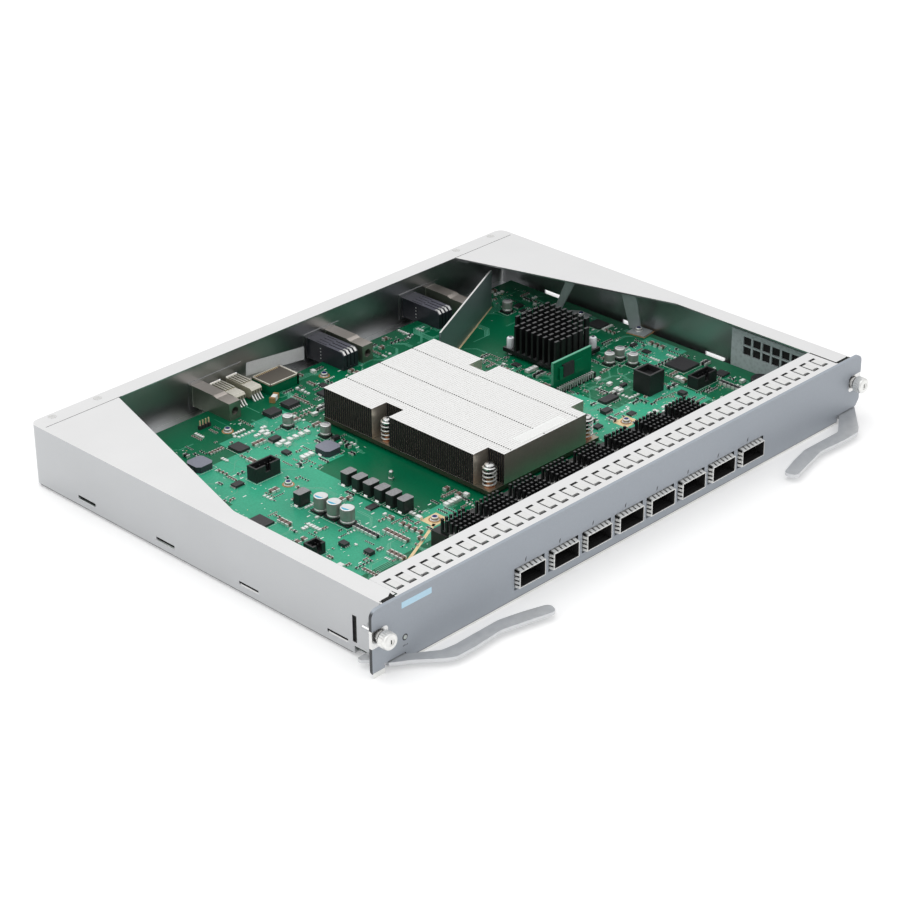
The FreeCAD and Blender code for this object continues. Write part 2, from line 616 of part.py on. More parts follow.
DAUGHTER_X, DAUGHTER_Y = (82.0, 116.5), 137.0
DAUGHTER_TOP, DAUGHTER_THICK = 26.0, 1.4
HEADER_HEIGHT = 2.6


def make_daughter_board():
    """Small upright board plugged into a header."""
    x0, x1 = DAUGHTER_X
    y0, y1 = DAUGHTER_Y, DAUGHTER_Y + DAUGHTER_THICK
    board = block(x0, x1, y0, y1, BOARD_TOP + HEADER_HEIGHT - 1.5, DAUGHTER_TOP)
    chips = [block(x0 + 5 + 13 * i, x0 + 14 + 13 * i, y0 - 1.2, y0, 13.5, 21.5) for i in range(2)]
    return fuse([board] + chips)


def make_daughter_header():
    """Two-row header with a slot for the daughter board, and its row of pins."""
    x0, x1 = DAUGHTER_X[0] + 1, DAUGHTER_X[1] + 1
    body = block(x0 - 2, x1, DAUGHTER_Y - 3, DAUGHTER_Y + DAUGHTER_THICK + 3,
                 BOARD_TOP, BOARD_TOP + HEADER_HEIGHT)
    slot = block(DAUGHTER_X[0] - 0.1, DAUGHTER_X[1] + 0.1, DAUGHTER_Y - 0.05,
                 DAUGHTER_Y + DAUGHTER_THICK + 0.05, BOARD_TOP + HEADER_HEIGHT - 1.5, BOARD_TOP + 9)
    pins = [block(x0 + 1 + 3.4 * i, x0 + 2.2 + 3.4 * i, DAUGHTER_Y - 4.6, DAUGHTER_Y - 3,
                  BOARD_TOP, BOARD_TOP + 1.0) for i in range(10)]
    return fuse([body] + pins).cut(slot)


# ---- module ports ----
def make_cage(x):
    """Sheet-metal module cage, open at the front, with grounding fingers round its mouth."""
    half = CAGE_WIDTH / 2
    s = CAGE_SHEET
    shell = block(x - half, x + half, CAGE_FRONT, CAGE_REAR, BOARD_TOP, CAGE_TOP)
    inside = block(x - half + s, x + half - s, CAGE_FRONT - 1, CAGE_REAR - s,
                   BOARD_TOP + s, CAGE_TOP - s)
    y0, y1 = CAGE_FRONT + 0.5, FRAME_REAR
    fingers = []
    for i in range(4):
        fx = x - half + 1.0 + i * (CAGE_WIDTH - 2.0 - FINGER_WIDTH) / 3
        fingers.append(block(fx, fx + FINGER_WIDTH, y0, y1, CAGE_TOP, CAGE_TOP + FINGER_PROUD))
    for fx in (x - half + 1.0, x + half - 1.0 - FINGER_WIDTH):
        fingers.append(block(fx, fx + FINGER_WIDTH, y0, y1, BOARD_TOP - FINGER_PROUD, BOARD_TOP))
    for i in range(2):
        fz = BOARD_TOP + 1.0 + i * (CAGE_HEIGHT - 2.0 - FINGER_WIDTH)
        for x0 in (x - half - FINGER_PROUD, x + half):
            fingers.append(block(x0, x0 + FINGER_PROUD, y0, y1, fz, fz + FINGER_WIDTH))
    return fuse([shell] + fingers).cut(inside)


def make_cage_heatsinks():
    """Riding heatsinks on the cages."""
    sinks = []
    z0, z1 = CAGE_TOP, CAGE_TOP + COOLER_HEIGHT
    y0, y1 = COOLER_Y, COOLER_Y + COOLER_DEPTH
    for x in PORTS:
        x0, x1 = x - COOLER_WIDTH / 2, x + COOLER_WIDTH / 2
        base = block(x0, x1, y0, y1, z0, z0 + COOLER_BASE)
        pins = pin_field(x0, x1, y0, y1, z0 + COOLER_BASE - 0.2, z1,
                         COOLER_COLUMN_COUNT, COOLER_ROW_COUNT)
        sinks.append(fuse([base] + pins))
    return group(sinks)


def make_heatsink_clips():
    """Spring clips that hold the riding heatsinks on their cages."""
    pitch = COOLER_DEPTH / (COOLER_ROW_COUNT - 0.5)
    y0 = COOLER_Y + 1.5 * pitch + (pitch / 2 - CLIP_WIDTH) / 2
    z0, z1 = BOARD_TOP + 3, CAGE_TOP + COOLER_BASE
    t = CLIP_SHEET
    clips = []
    for x in PORTS:
        a = CAGE_WIDTH / 2
        outline = [(x - a - t, z0, 0), (x - a, z0, 0), (x - a, z1, 0), (x + a, z1, 0),
                   (x + a, z0, 0), (x + a + t, z0, 0), (x + a + t, z1 + t, 0),
                   (x - a - t, z1 + t, 0)]
        clips.append(plate_y(outline, y0, y0 + CLIP_WIDTH))
    return group(clips)


def make_module_connectors():
    """Board connectors at the back of the cages."""
    return group([block(x - 7, x + 7, CAGE_REAR - 9, CAGE_REAR - 2, BOARD_TOP + CAGE_SHEET,
                        BOARD_TOP + 5.5) for x in PORTS])


# ---- rear connectors ----
GUIDE_WIDTH, GUIDE_TOP, GUIDE_FRONT = 8.6, 17.6, CARD_DEPTH - 34.4
GUIDE_BORE_R = 2.5
GUIDE_BORE_Z = 12.0
GUIDES = {"guide_block_left": -70.7, "guide_block_centre": 36.8, "guide_block_right": 124.6}


def make_guide_block(x):
    """Cast guide socket: a stepped block on the board with a bore for the guide pin."""
    half = GUIDE_WIDTH / 2
    profile = [(GUIDE_FRONT, BOARD_TOP, 0), (CARD_DEPTH, BOARD_TOP - 1.4, 0),
               (CARD_DEPTH, GUIDE_TOP + 0.8, 0), (GUIDE_FRONT + 14, GUIDE_TOP + 0.8, 0),
               (GUIDE_FRONT + 11, GUIDE_TOP, 0), (GUIDE_FRONT, GUIDE_TOP, 0)]
    low = [(GUIDE_FRONT, BOARD_TOP, 0), (BOARD_REAR + 0.3, BOARD_TOP, 0),
           (BOARD_REAR + 0.3, BOARD_TOP - 1.4, 0)] + profile[1:]
    body = plate_x(low, x - half, x + half)
    bore = rod(GUIDE_BORE_R, V(x, GUIDE_FRONT - 1, GUIDE_BORE_Z), 40, Y_AXIS)
    return body.cut(bore)


def socket_body(x0, x1, y0, z1, cells_x, cells_z, depth):
    """A connector body on the board's rear edge with rows of contact cavities behind."""
    body = plate_x([(y0, BOARD_TOP, 0), (BOARD_REAR + 0.3, BOARD_TOP, 0),
                    (BOARD_REAR + 0.3, BOARD_TOP - 1.4, 0), (CARD_DEPTH, BOARD_TOP - 1.4, 0),
                    (CARD_DEPTH, z1, 0), (y0 + 2, z1, 0), (y0, z1 - 2, 0)], x0, x1)
    wall = 1.0
    px = (x1 - x0 - wall) / cells_x
    pz = (z1 - BOARD_TOP - wall) / cells_z
    cells = [block(x0 + wall + i * px, x0 + (i + 1) * px, CARD_DEPTH - depth, CARD_DEPTH + 1,
                   BOARD_TOP + wall + j * pz, BOARD_TOP + (j + 1) * pz)
             for i in range(cells_x) for j in range(cells_z)]
    return body.cut(group(cells))


POWER_X = (-61.4, -48.6)
POWER_WIDTH = 8.2


def make_power_connectors():
    """Two power sockets beside the left guide block."""
    y0, top = CARD_DEPTH - 24.0, 14.2
    sockets = []
    for x in POWER_X:
        ribs = [block(x + 0.6 + 2 * i, x + 1.6 + 2 * i, y0 + 6, CARD_DEPTH - 4, top - 0.2, top + 0.9)
                for i in range(4)]
        sockets.append(fuse([socket_body(x, x + POWER_WIDTH, y0, top, 1, 2, 12.0)] + ribs))
    return group(sockets)


def make_signal_connector():
    """Wide signal socket with a low nose that passes under the rear wall."""
    x0, x1, y0, y1 = -36.3, -13.4, CARD_DEPTH - 27.0, CARD_DEPTH - 10.0
    body = block(x0, x1, y0, y1, BOARD_TOP, 13.6)
    well = block(x0 + 2, x1 - 3, y0 + 3, y1 - 3, 11.0, 14.0)
    nose = block(x0, x1, BOARD_REAR + 0.3, CARD_DEPTH, 2.4, 6.8)
    cells = [block(x0 + 1 + 3.7 * i, x0 + 3.7 + 3.7 * i, CARD_DEPTH - 8, CARD_DEPTH + 1, 3.4, 5.8)
             for i in range(6)]
    return fuse([body, nose]).cut(group([well] + cells))


def make_backplane_connector(x0):
    """High-speed backplane socket made of side-by-side wafers."""
    width, front, top = 12.0, CARD_DEPTH - 34.0, 18.2
    wafers = 4
    body = socket_body(x0, x0 + width, front, top, 2, 3, 8.0)
    pitch = width / wafers
    grooves = [block(x0 + (i + 1) * pitch - 0.35, x0 + (i + 1) * pitch + 0.35, front - 1,
                     front + 16, BOARD_TOP + 1.5, 20) for i in range(wafers - 1)]
    return body.cut(group(grooves))


BACKPLANE_X = {"backplane_connector_left": 17.0, "backplane_connector_right": 99.3}


# ---- components on the board ----
def make_power_inductors():
    """Row of six moulded inductors and one single."""
    parts = []
    w, d, c = 8.3, 5.9, 0.7
    for x, y in [(-83.1, 96.1 + 8.95 * i) for i in range(6)] + [(-117.2, 142.4)]:
        case = plate_z([(x + c, y, 0), (x + w - c, y, 0), (x + w, y + c, 0), (x + w, y + d - c, 0),
                        (x + w - c, y + d, 0), (x + c, y + d, 0), (x, y + d - c, 0), (x, y + c, 0)],
                       BOARD_TOP + 0.3, BOARD_TOP + 7.9)
        foot = block(x + 1, x + w - 1, y + 1, y + d - 1, BOARD_TOP, BOARD_TOP + 0.3)
        parts.append(fuse([case, foot]))
    return group(parts)


def make_flat_inductors():
    """Flat square inductors with chamfered corners."""
    parts = []
    for x, y in ((-61.4, 179.6), (-124.3, 218.0)):
        a, c = 6.0, 2.0
        outline = [(x - a + c, y - a, 0), (x + a - c, y - a, 0), (x + a, y - a + c, 0),
                   (x + a, y + a - c, 0), (x + a - c, y + a, 0), (x - a + c, y + a, 0),
                   (x - a, y + a - c, 0), (x - a, y - a + c, 0)]
        parts.append(plate_z(outline, BOARD_TOP, BOARD_TOP + 3.8))
    return group(parts)


def can_capacitor(x, y, radius, height):
    """Surface-mount can on a square plastic foot, crimped near its base."""
    half, c, foot_top = radius + 0.1, 1.2, 0.9
    foot = plate_z([(x - half, y - half, 0), (x + half - c, y - half, 0), (x + half, y - half + c, 0),
                    (x + half, y + half - c, 0), (x + half - c, y + half, 0), (x - half, y + half, 0)],
                   BOARD_TOP, BOARD_TOP + foot_top)
    can = faceted([(radius, foot_top), (radius, 2.4), (radius - 0.4, 2.8), (radius, 3.2),
                   (radius, height)], V(x, y, BOARD_TOP), 8)
    return fuse([foot, can])


def make_tall_capacitors():
    """Three large cans in a row."""
    return group([can_capacitor(x, y, 4.2, 10.2)
                  for x, y in ((-111.6, 131.4), (-111.2, 121.4), (-110.9, 111.2))])


def make_small_capacitors():
    """Smaller cans about the board."""
    places = ((-56.1, 219.1), (-48.8, 194.8), (148.3, 236.2),
              (135.4, 138.8), (145.2, 139.0), (144.7, 127.8))
    return group([can_capacitor(x, y, 3.3, 7.7) for x, y in places])


def box_header(x0, x1, y0, y1, height, pins):
    """Open-topped header with a keying slot and two rows of pins."""
    wall, floor = 1.1, 2.2
    z1 = BOARD_TOP + height
    body = block(x0, x1, y0, y1, BOARD_TOP, z1)
    inside = block(x0 + wall, x1 - wall, y0 + wall, y1 - wall, BOARD_TOP + floor, z1 + 1)
    mid = (x0 + x1) / 2
    key = block(mid - 1.8, mid + 1.8, y0 - 1, y0 + wall + 0.1, z1 - 4.5, z1 + 1)
    pitch = (x1 - x0 - 6) / max(1, pins - 1)
    posts = [block(x0 + 2.7 + i * pitch, x0 + 3.3 + i * pitch, y, y + 0.6,
                   BOARD_TOP + floor - 0.2, z1 - 1.2)
             for i in range(pins) for y in (y0 + 2.4, y1 - 3.0)]
    return fuse([body.cut(group([inside, key]))] + posts)


def make_box_headers():
    """Three shrouded pin headers."""
    return group([box_header(-115.0, -97.0, 180.4, 188.2, 8.8, 4),
                  box_header(144.5, 162.5, 77.2, 85.0, 7.4, 4),
                  box_header(-149.5, -140.5, 97.0, 104.5, 6.6, 2)])


def make_service_socket():
    """Tall square socket, open at the top, for a plug-in service module."""
    x0, x1, y0, y1 = 118.0, 131.0, 92.0, 105.0
    body = block(x0, x1, y0, y1, BOARD_TOP, 20.2)
    inside = block(x0 + 1.4, x1 - 1.4, y0 + 1.4, y1 - 1.4, 16.5, 21)
    return body.cut(inside)


CHIPS = ((157.0, 172.0, 98.0, 113.0, 1.4), (-16.0, -2.0, 224.0, 238.0, 1.4),
         (-150.0, -138.0, 140.0, 152.0, 1.2), (66.0, 74.0, 158.0, 174.0, 1.2),
         (92.0, 104.0, 104.0, 110.0, 1.6), (-98.0, -90.0, 214.0, 224.0, 1.6),
         (BOARD_HALF - 18.2, BOARD_HALF - 8.2, 176.0, 186.0, 1.2), (64.0, 76.0, 112.0, 118.0, 1.6))


def make_board_chips():
    """Flat packages soldered to the board."""
    return group([plate_z([(x0, y0 + 1, 0), (x0 + 1, y0, 0), (x1, y0, 0), (x1, y1, 0), (x0, y1, 0)],
                          BOARD_TOP, BOARD_TOP + h) for x0, x1, y0, y1, h in CHIPS])


def make_board_post():
    """Small stepped post that stands on the board beside the inductors."""
    return faceted([(1.7, 0), (1.7, 1.2), (1.3, 1.2), (1.3, 5.0), (0.9, 5.5)],
                   V(-59.6, 130.0, BOARD_TOP), 10)


def make_buzzer():
    """Round sounder near the right wall."""
    place = V(BOARD_HALF - 8.7, 55.5, BOARD_TOP)
    body = faceted([(6.0, 0), (6.0, 3.6), (5.6, 4.0)], place, 16)
    return body.cut(faceted([(1.1, 3.2), (1.1, 5.0)], place, 6))


# ---- levers and thumbscrews ----
LEVER_Z0 = SHEET + LEVER_FLOOR_GAP
LEVER_Z1 = LEVER_Z0 + LEVER_THICK


def make_lever(handle_x, neck_inner, neck_outer):
    """Right-hand ejector lever: bent handle, neck through the panel notch, pivot and claw.

    x values count from the panel's end: handle_x is where the handle's elbow lies, and the
    neck points join it to the claw."""
    handle_inner = [(-62.0, -20.3, 3.2), (-45.5, -15.2, 14), (-31.5, -11.9, 10), (0.0, -12.2, 4)]
    handle_outer = [(7.5, -20.8, 5), (-5.5, -21.0, 12), (-25.5, -19.6, 14),
                    (-43.5, -23.8, 14), (-58.5, -27.6, 3.2)]
    claw = [(-PIVOT_INSET - 2, PIVOT_Y + 6.0, 0), (-3.0, PIVOT_Y + 6.0, 1.0),
            (-2.4, PIVOT_Y + 3.4, 1.0)]
    corners = [(handle_x + u, v, r) for u, v, r in handle_inner] + neck_inner
    corners += claw + neck_outer
    corners += [(handle_x + u, v, r) for u, v, r in handle_outer]
    lever = plate_z([(HALF_PANEL + u, v, r) for u, v, r in corners], LEVER_Z0, LEVER_Z1)
    boss = faceted([(LEVER_BOSS_R, 0), (LEVER_BOSS_R, LEVER_THICK)],
                   V(PIVOT_X, PIVOT_Y, LEVER_Z0), 16)
    bore = rod(PIVOT_R + PIVOT_CLEARANCE, V(PIVOT_X, PIVOT_Y, LEVER_Z0 - 1), LEVER_THICK + 2)
    return fuse([lever, boss]).cut(bore)


def make_right_lever():
    """The right lever's neck passes under the open end of the panel."""
    return make_lever(-36.5, [(-19.8, -0.8, 1)], [(-2.0, 1.5, 1.5), (-23.5, -17.6, 4)])


def make_left_lever():
    """The left lever's neck fits between the panel's corner and the lip."""
    lever = make_lever(-45.5, [(-37.0, -11.0, 1), (-22.4, -0.8, 1)],
                       [(-9.7, 4.5, 1), (-10.8, -0.8, 1), (-21.5, -7.8, 4), (-32.5, -17.6, 4)])
    return mirrored(lever)


def make_lever_rivets():
    """Shouldered rivets in the floor on which the levers turn."""
    head = LEVER_Z1 + 0.15
    rivets = []
    for side in (-1, 1):
        shank = rod(PIVOT_R, V(side * PIVOT_X, PIVOT_Y, SHEET), head - SHEET)
        cap = faceted([(3.4, 0), (3.4, 0.5), (2.8, 0.85)], V(side * PIVOT_X, PIVOT_Y, head), 10)
        rivets.append(fuse([shank, cap]))
    return group(rivets)


FERRULE_PROUD = 0.8


def make_ferrules():
    """Fastener seats that fill the slots at the panel's ends."""
    h = THUMB_SLOT_HALF
    x0, x1 = THUMB_X - h, HALF_PANEL
    seat = plate_y([(x0, THUMB_Z - h, 2), (x1, THUMB_Z - h, 0), (x1, THUMB_Z + h, 0),
                    (x0, THUMB_Z + h, 2)], 0, PANEL_THICK)
    bush = faceted([(3.2, 0), (3.2, FERRULE_PROUD)], V(THUMB_X, -FERRULE_PROUD, THUMB_Z), 10, Y_AXIS)
    bore_r = (SHANK_R + 0.05) / math.cos(math.pi / 10)
    bore = faceted([(bore_r, 0), (bore_r, 20)], V(THUMB_X, -5, THUMB_Z), 10, Y_AXIS)
    right = fuse([seat, bush]).cut(bore)
    return group([right, mirrored(right)])


def make_thumbscrew():
    """Right-hand captive screw: fluted knob with a driver slot, shank and groove."""
    back = -FERRULE_PROUD - 0.3                    # rear face of the knob
    face = back - KNOB_LENGTH
    groove = PANEL_THICK + THUMB_TRAVEL            # front face of the retainer
    side_gap = 0.1                                 # between the retainer and the groove
    neck_start, neck_end = groove - side_gap, groove + RETAINER_THICK + side_gap
    tip = groove + 7.0
    neck_r = 1.1
    shank = faceted([(SHANK_R, back), (SHANK_R, neck_start), (neck_r, neck_start), (neck_r, neck_end)],
                    V(THUMB_X, 0, THUMB_Z), 10, Y_AXIS)
    thread = rod(SHANK_R, V(THUMB_X, neck_end, THUMB_Z), tip - 0.5 - neck_end, Y_AXIS)
    point = faceted([(SHANK_R - 0.1, tip - 0.5), (SHANK_R - 0.5, tip)], V(THUMB_X, 0, THUMB_Z), 10, Y_AXIS)
    flutes = 12
    corners = []
    for i in range(flutes * 2):
        angle = math.pi * i / flutes
        r = KNOB_R if i % 2 == 0 else KNOB_R - 0.5
        corners.append((THUMB_X + r * math.cos(angle), THUMB_Z + r * math.sin(angle), 0))
    knob = plate_y(corners, face + 0.8, back)
    cap = faceted([(KNOB_R - 1.0, 0), (KNOB_R - 0.7, 0.8)], V(THUMB_X, face, THUMB_Z), 12, Y_AXIS)
    slot = block(THUMB_X - 0.5, THUMB_X + 0.5, face - 1, face + 1.6, THUMB_Z - 2.6, THUMB_Z + 2.6)
    return fuse([knob, cap, shank, thread, point]).cut(slot)


def make_retainer():
    """Snap ring in the screw's groove that keeps it captive in the seat."""
    y0 = PANEL_THICK + THUMB_TRAVEL
    ring = faceted([(RETAINER_R, 0), (RETAINER_R, RETAINER_THICK)], V(THUMB_X, y0, THUMB_Z), 10, Y_AXIS)
    bore = faceted([(1.2, 0), (1.2, 4)], V(THUMB_X, y0 - 1, THUMB_Z), 10, Y_AXIS)
    gap = block(THUMB_X - 0.8, THUMB_X + 0.8, y0 - 1, y0 + 2, THUMB_Z - 3, THUMB_Z)
    return ring.cut(group([bore, gap]))


def make_light_pipe():
    """Clear rod that brings the status light to the panel, on a block on the board."""
    pipe = faceted([(LIGHT_R - 0.1, 0), (LIGHT_R - 0.1, 12.3)], V(LIGHT_X, -0.3, LIGHT_Z), 12, Y_AXIS)
    post = block(LIGHT_X - 1.8, LIGHT_X + 1.8, 9.0, 13.0, BOARD_TOP, LIGHT_Z + 1.8)
    return fuse([pipe, post])


def make_parts():
    """All nodes by name, in build position."""
    parts = {
        "tray": make_tray(), "rear_panel": make_rear_panel(), "rear_screws": make_rear_screws(),
        "front_panel": make_front_panel(), "front_frame": make_front_frame(),
        "gasket_fingers": make_gasket_fingers(), "vent_bracket": make_vent_bracket(),
        "air_baffle": make_air_baffle(), "front_brace": make_brace(*BRACES[0]),
        "rear_brace": make_brace(*BRACES[1]), "circuit_board": make_circuit_board(),
        "board_standoffs": make_board_standoffs(), "board_screws": make_board_screws(),
        "heatsink_base": make_heatsink_base(), "heatsink_fins": make_heatsink_fins(),
        "heatsink_screws": make_heatsink_screws(), "heatsink_springs": make_heatsink_springs(),
        "switch_chip": make_switch_chip(), "pin_heatsink": make_pin_heatsink(),
        "push_pins": make_push_pins(), "bridge_chip": make_bridge_chip(),
        "daughter_board": make_daughter_board(), "daughter_header": make_daughter_header(),
        "cage_heatsinks": make_cage_heatsinks(), "heatsink_clips": make_heatsink_clips(),
        "module_connectors": make_module_connectors(),
        "power_connectors": make_power_connectors(),
        "signal_connector": make_signal_connector(),
        "power_inductors": make_power_inductors(), "flat_inductors": make_flat_inductors(),
        "tall_capacitors": make_tall_capacitors(), "small_capacitors": make_small_capacitors(),
        "box_headers": make_box_headers(), "service_socket": make_service_socket(),
        "board_chips": make_board_chips(), "board_post": make_board_post(),
        "buzzer": make_buzzer(),
        "light_pipe": make_light_pipe(), "lever_left": make_left_lever(),
        "lever_right": make_right_lever(), "lever_rivets": make_lever_rivets(),
        "ferrules": make_ferrules(), "thumbscrew_right": make_thumbscrew(),
        "retainer_right": make_retainer(),
    }
    parts["thumbscrew_left"] = mirrored(parts["thumbscrew_right"])
    parts["retainer_left"] = mirrored(parts["retainer_right"])
    for number, x in enumerate(PORTS, 1):
        parts["cage_%d" % number] = make_cage(x)
    for name, x in GUIDES.items():
        parts[name] = make_guide_block(x)
    for name, x in BACKPLANE_X.items():
        parts[name] = make_backplane_connector(x)
    return parts


def export_all():
    """Write every node with the origin at the centre of the floor's underside."""
    os.makedirs("parts", exist_ok=True)
    for name, shape in make_parts().items():
        placed = shape.copy()
        placed.translate(V(0, -CARD_DEPTH / 2, 0))
        placed.exportStep("parts/%s.step" % name)


export_all()
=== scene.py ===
import json
import math
import random

import bpy
from mathutils import Matrix, Vector


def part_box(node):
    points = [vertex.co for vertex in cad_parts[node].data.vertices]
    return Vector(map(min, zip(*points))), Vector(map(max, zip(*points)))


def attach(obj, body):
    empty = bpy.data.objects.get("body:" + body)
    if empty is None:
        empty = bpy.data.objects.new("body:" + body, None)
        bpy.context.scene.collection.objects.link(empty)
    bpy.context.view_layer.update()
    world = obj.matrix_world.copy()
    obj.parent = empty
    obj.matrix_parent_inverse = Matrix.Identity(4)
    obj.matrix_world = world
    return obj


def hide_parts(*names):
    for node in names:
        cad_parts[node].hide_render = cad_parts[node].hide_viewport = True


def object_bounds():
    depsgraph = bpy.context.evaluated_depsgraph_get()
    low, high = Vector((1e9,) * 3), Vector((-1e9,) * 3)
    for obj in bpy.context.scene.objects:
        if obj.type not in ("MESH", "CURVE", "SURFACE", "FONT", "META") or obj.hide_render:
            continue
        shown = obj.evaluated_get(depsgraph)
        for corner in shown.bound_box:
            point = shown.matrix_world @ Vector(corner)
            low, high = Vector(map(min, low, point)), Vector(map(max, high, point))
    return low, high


# Looks of the switch line card.  Lengths below are millimetres in the card's own axes:
# x along the panel, y back from the panel's front face, z up from the tray's underside.
# at() turns them into the frame's metres.

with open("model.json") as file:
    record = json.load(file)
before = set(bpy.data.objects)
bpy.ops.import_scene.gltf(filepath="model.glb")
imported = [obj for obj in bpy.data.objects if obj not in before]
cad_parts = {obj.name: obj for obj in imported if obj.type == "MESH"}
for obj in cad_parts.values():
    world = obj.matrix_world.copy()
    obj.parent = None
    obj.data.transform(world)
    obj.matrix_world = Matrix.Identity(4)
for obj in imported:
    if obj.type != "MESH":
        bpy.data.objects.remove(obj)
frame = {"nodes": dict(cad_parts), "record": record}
CAD_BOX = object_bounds()

MM = 0.001
PANEL_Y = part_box("front_panel")[0].y
NODES = frame["nodes"]


def at(x, y, z):
    """A point in the frame, in metres, from millimetres behind the panel."""
    return Vector((x * MM, y * MM + PANEL_Y, z * MM))


def extent(node):
    """A CAD node's box as x0, x1, y0, y1, z0, z1 in millimetres behind the panel."""
    low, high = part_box(node)
    return (low.x / MM, high.x / MM, (low.y - PANEL_Y) / MM, (high.y - PANEL_Y) / MM,
            low.z / MM, high.z / MM)


BOARD = extent("circuit_board")
BOARD_TOP = BOARD[5]
PORTS = [sum(extent("cage_%d" % i)[:2]) / 2 for i in range(1, 9)]


# ---- materials ----
NOISE_LOW, NOISE_HIGH = 0.3, 0.7     # most values of a noise lie between these


def new_material(name, color, metallic, roughness, **extra):
    """A Principled material and its shader's inputs; extra sets further inputs by their names."""
    mat = bpy.data.materials.new(name)
    mat.use_nodes = True
    inputs = mat.node_tree.nodes["Principled BSDF"].inputs
    inputs["Base Color"].default_value = (*color, 1)
    inputs["Metallic"].default_value = metallic
    inputs["Roughness"].default_value = roughness
    for socket, value in extra.items():
        inputs[socket.replace("_", " ")].default_value = value
    mat.diffuse_color = (*color, 1)
    return mat, inputs


def add_node(mat, kind, **settings):
    """A shader node with its properties and unlinked inputs set."""
    node = mat.node_tree.nodes.new(kind)
    for key, value in settings.items():
        if key in node.inputs:
            node.inputs[key].default_value = value
        else:
            setattr(node, key, value)
    return node


def link(mat, source, target):
    mat.node_tree.links.new(source, target)


def object_space(mat):
    """Coordinates in metres from the object's origin."""
    return add_node(mat, "ShaderNodeTexCoord").outputs["Object"]


def noise(mat, scale, detail=3.0):
    node = add_node(mat, "ShaderNodeTexNoise", Scale=scale, Detail=detail)
    link(mat, object_space(mat), node.inputs["Vector"])
    return node.outputs["Fac"]


def ramp(mat, source, stops):
    """Colour ramp from (position, colour) stops."""
    node = add_node(mat, "ShaderNodeValToRGB")
    elements = node.color_ramp.elements
    while len(elements) < len(stops):
        elements.new(0.5)
    for element, (place, color) in zip(elements, stops):
        element.position = place
        element.color = (*color, 1)
    link(mat, source, node.inputs["Fac"])
    return node.outputs["Color"]


def spread(mat, source, low, high):
    """Maps the middle of a noise to a range of values."""
    node = add_node(mat, "ShaderNodeMapRange",
                    **{"From Min": NOISE_LOW, "From Max": NOISE_HIGH, "To Min": low, "To Max": high})
    link(mat, source, node.inputs["Value"])
    return node.outputs["Result"]


def tinted(color, share):
    """A colour made darker or paler."""
    return tuple(min(1.0, c * share) for c in color)


def add_grain(mat, inputs, scale, strength, depth):
    """Fine relief: a noise tilts the surface; depth is in metres."""
    relief = add_node(mat, "ShaderNodeBump", Strength=strength, Distance=depth)
    link(mat, noise(mat, scale), relief.inputs["Height"])
    link(mat, relief.outputs["Normal"], inputs["Normal"])


def surface(name, color, metallic, rough, scale=400, shade=0.06, bump=0.1, **extra):
    """A material with uneven colour and grain; rough is the range of its roughness."""
    mat, inputs = new_material(name, color, metallic, sum(rough) / 2, **extra)
    fac = noise(mat, scale)
    tint = ramp(mat, fac, [(NOISE_LOW, tinted(color, 1 - shade)), (NOISE_HIGH, tinted(color, 1 + shade))])
    link(mat, tint, inputs["Base Color"])
    link(mat, spread(mat, fac, *rough), inputs["Roughness"])
    if bump:
        add_grain(mat, inputs, scale * 4, bump, 0.0002)
    return mat


def multiply(mat, first, second):
    node = add_node(mat, "ShaderNodeMix", data_type="RGBA", blend_type="MULTIPLY")
    node.inputs[0].default_value = 1.0
    link(mat, first, node.inputs[6])
    link(mat, second, node.inputs[7])
    return node.outputs[2]


def make_board_material(name, color, rough):
    """Glossy solder mask with a faint weave and specks."""
    mat, inputs = new_material(name, color, 0.0, rough, Specular_IOR_Level=0.2)
    wide = ramp(mat, noise(mat, 14, detail=1.0), [(0.35, tinted(color, 0.85)), (0.65, tinted(color, 1.12))])
    speck = ramp(mat, noise(mat, 900), [(0.35, (0.86, 0.86, 0.86)), (0.65, (1.0, 1.0, 1.0))])
    link(mat, multiply(mat, wide, speck), inputs["Base Color"])
    add_grain(mat, inputs, 1500, 0.08, 0.0001)
    return mat


def split_axes(mat, source):
    """The outputs X, Y and Z of a direction."""
    axes = add_node(mat, "ShaderNodeSeparateXYZ")
    link(mat, source, axes.inputs["Vector"])
    return axes.outputs


def make_painted_light(name, top, side, metallic, rough, grain=0.12, scale=900, left_shade=None):
    """A body whose upward faces are paler than its sides: painted light that follows the tilt of each face.

    The last argument darkens the faces that look to the left: painted shade."""
    mat, inputs = new_material(name, side, metallic, rough)
    axes = split_axes(mat, add_node(mat, "ShaderNodeNewGeometry").outputs["Normal"])
    base = ramp(mat, axes["Z"], [(0.5, side), (0.85, top)])
    if left_shade:
        leftward = add_node(mat, "ShaderNodeMath", operation="MULTIPLY")
        leftward.inputs[1].default_value = -1.0
        link(mat, axes["X"], leftward.inputs[0])
        tint = ramp(mat, leftward.outputs[0], [(0.6, (1.0, 1.0, 1.0)), (0.85, left_shade)])
        base = multiply(mat, base, tint)
    mottle = ramp(mat, noise(mat, scale), [(NOISE_LOW, (1 - grain,) * 3), (NOISE_HIGH, (1.0,) * 3)])
    link(mat, multiply(mat, base, mottle), inputs["Base Color"])
    return mat


def make_galvanised(name, color):
    """Zinc with large dull crystals."""
    mat, inputs = new_material(name, color, 0.2, 0.5)
    cells = add_node(mat, "ShaderNodeTexVoronoi", Scale=420)
    link(mat, object_space(mat), cells.inputs["Vector"])
    tint = ramp(mat, cells.outputs["Distance"], [(0.1, tinted(color, 0.8)), (0.6, color)])
    link(mat, tint, inputs["Base Color"])
    return mat
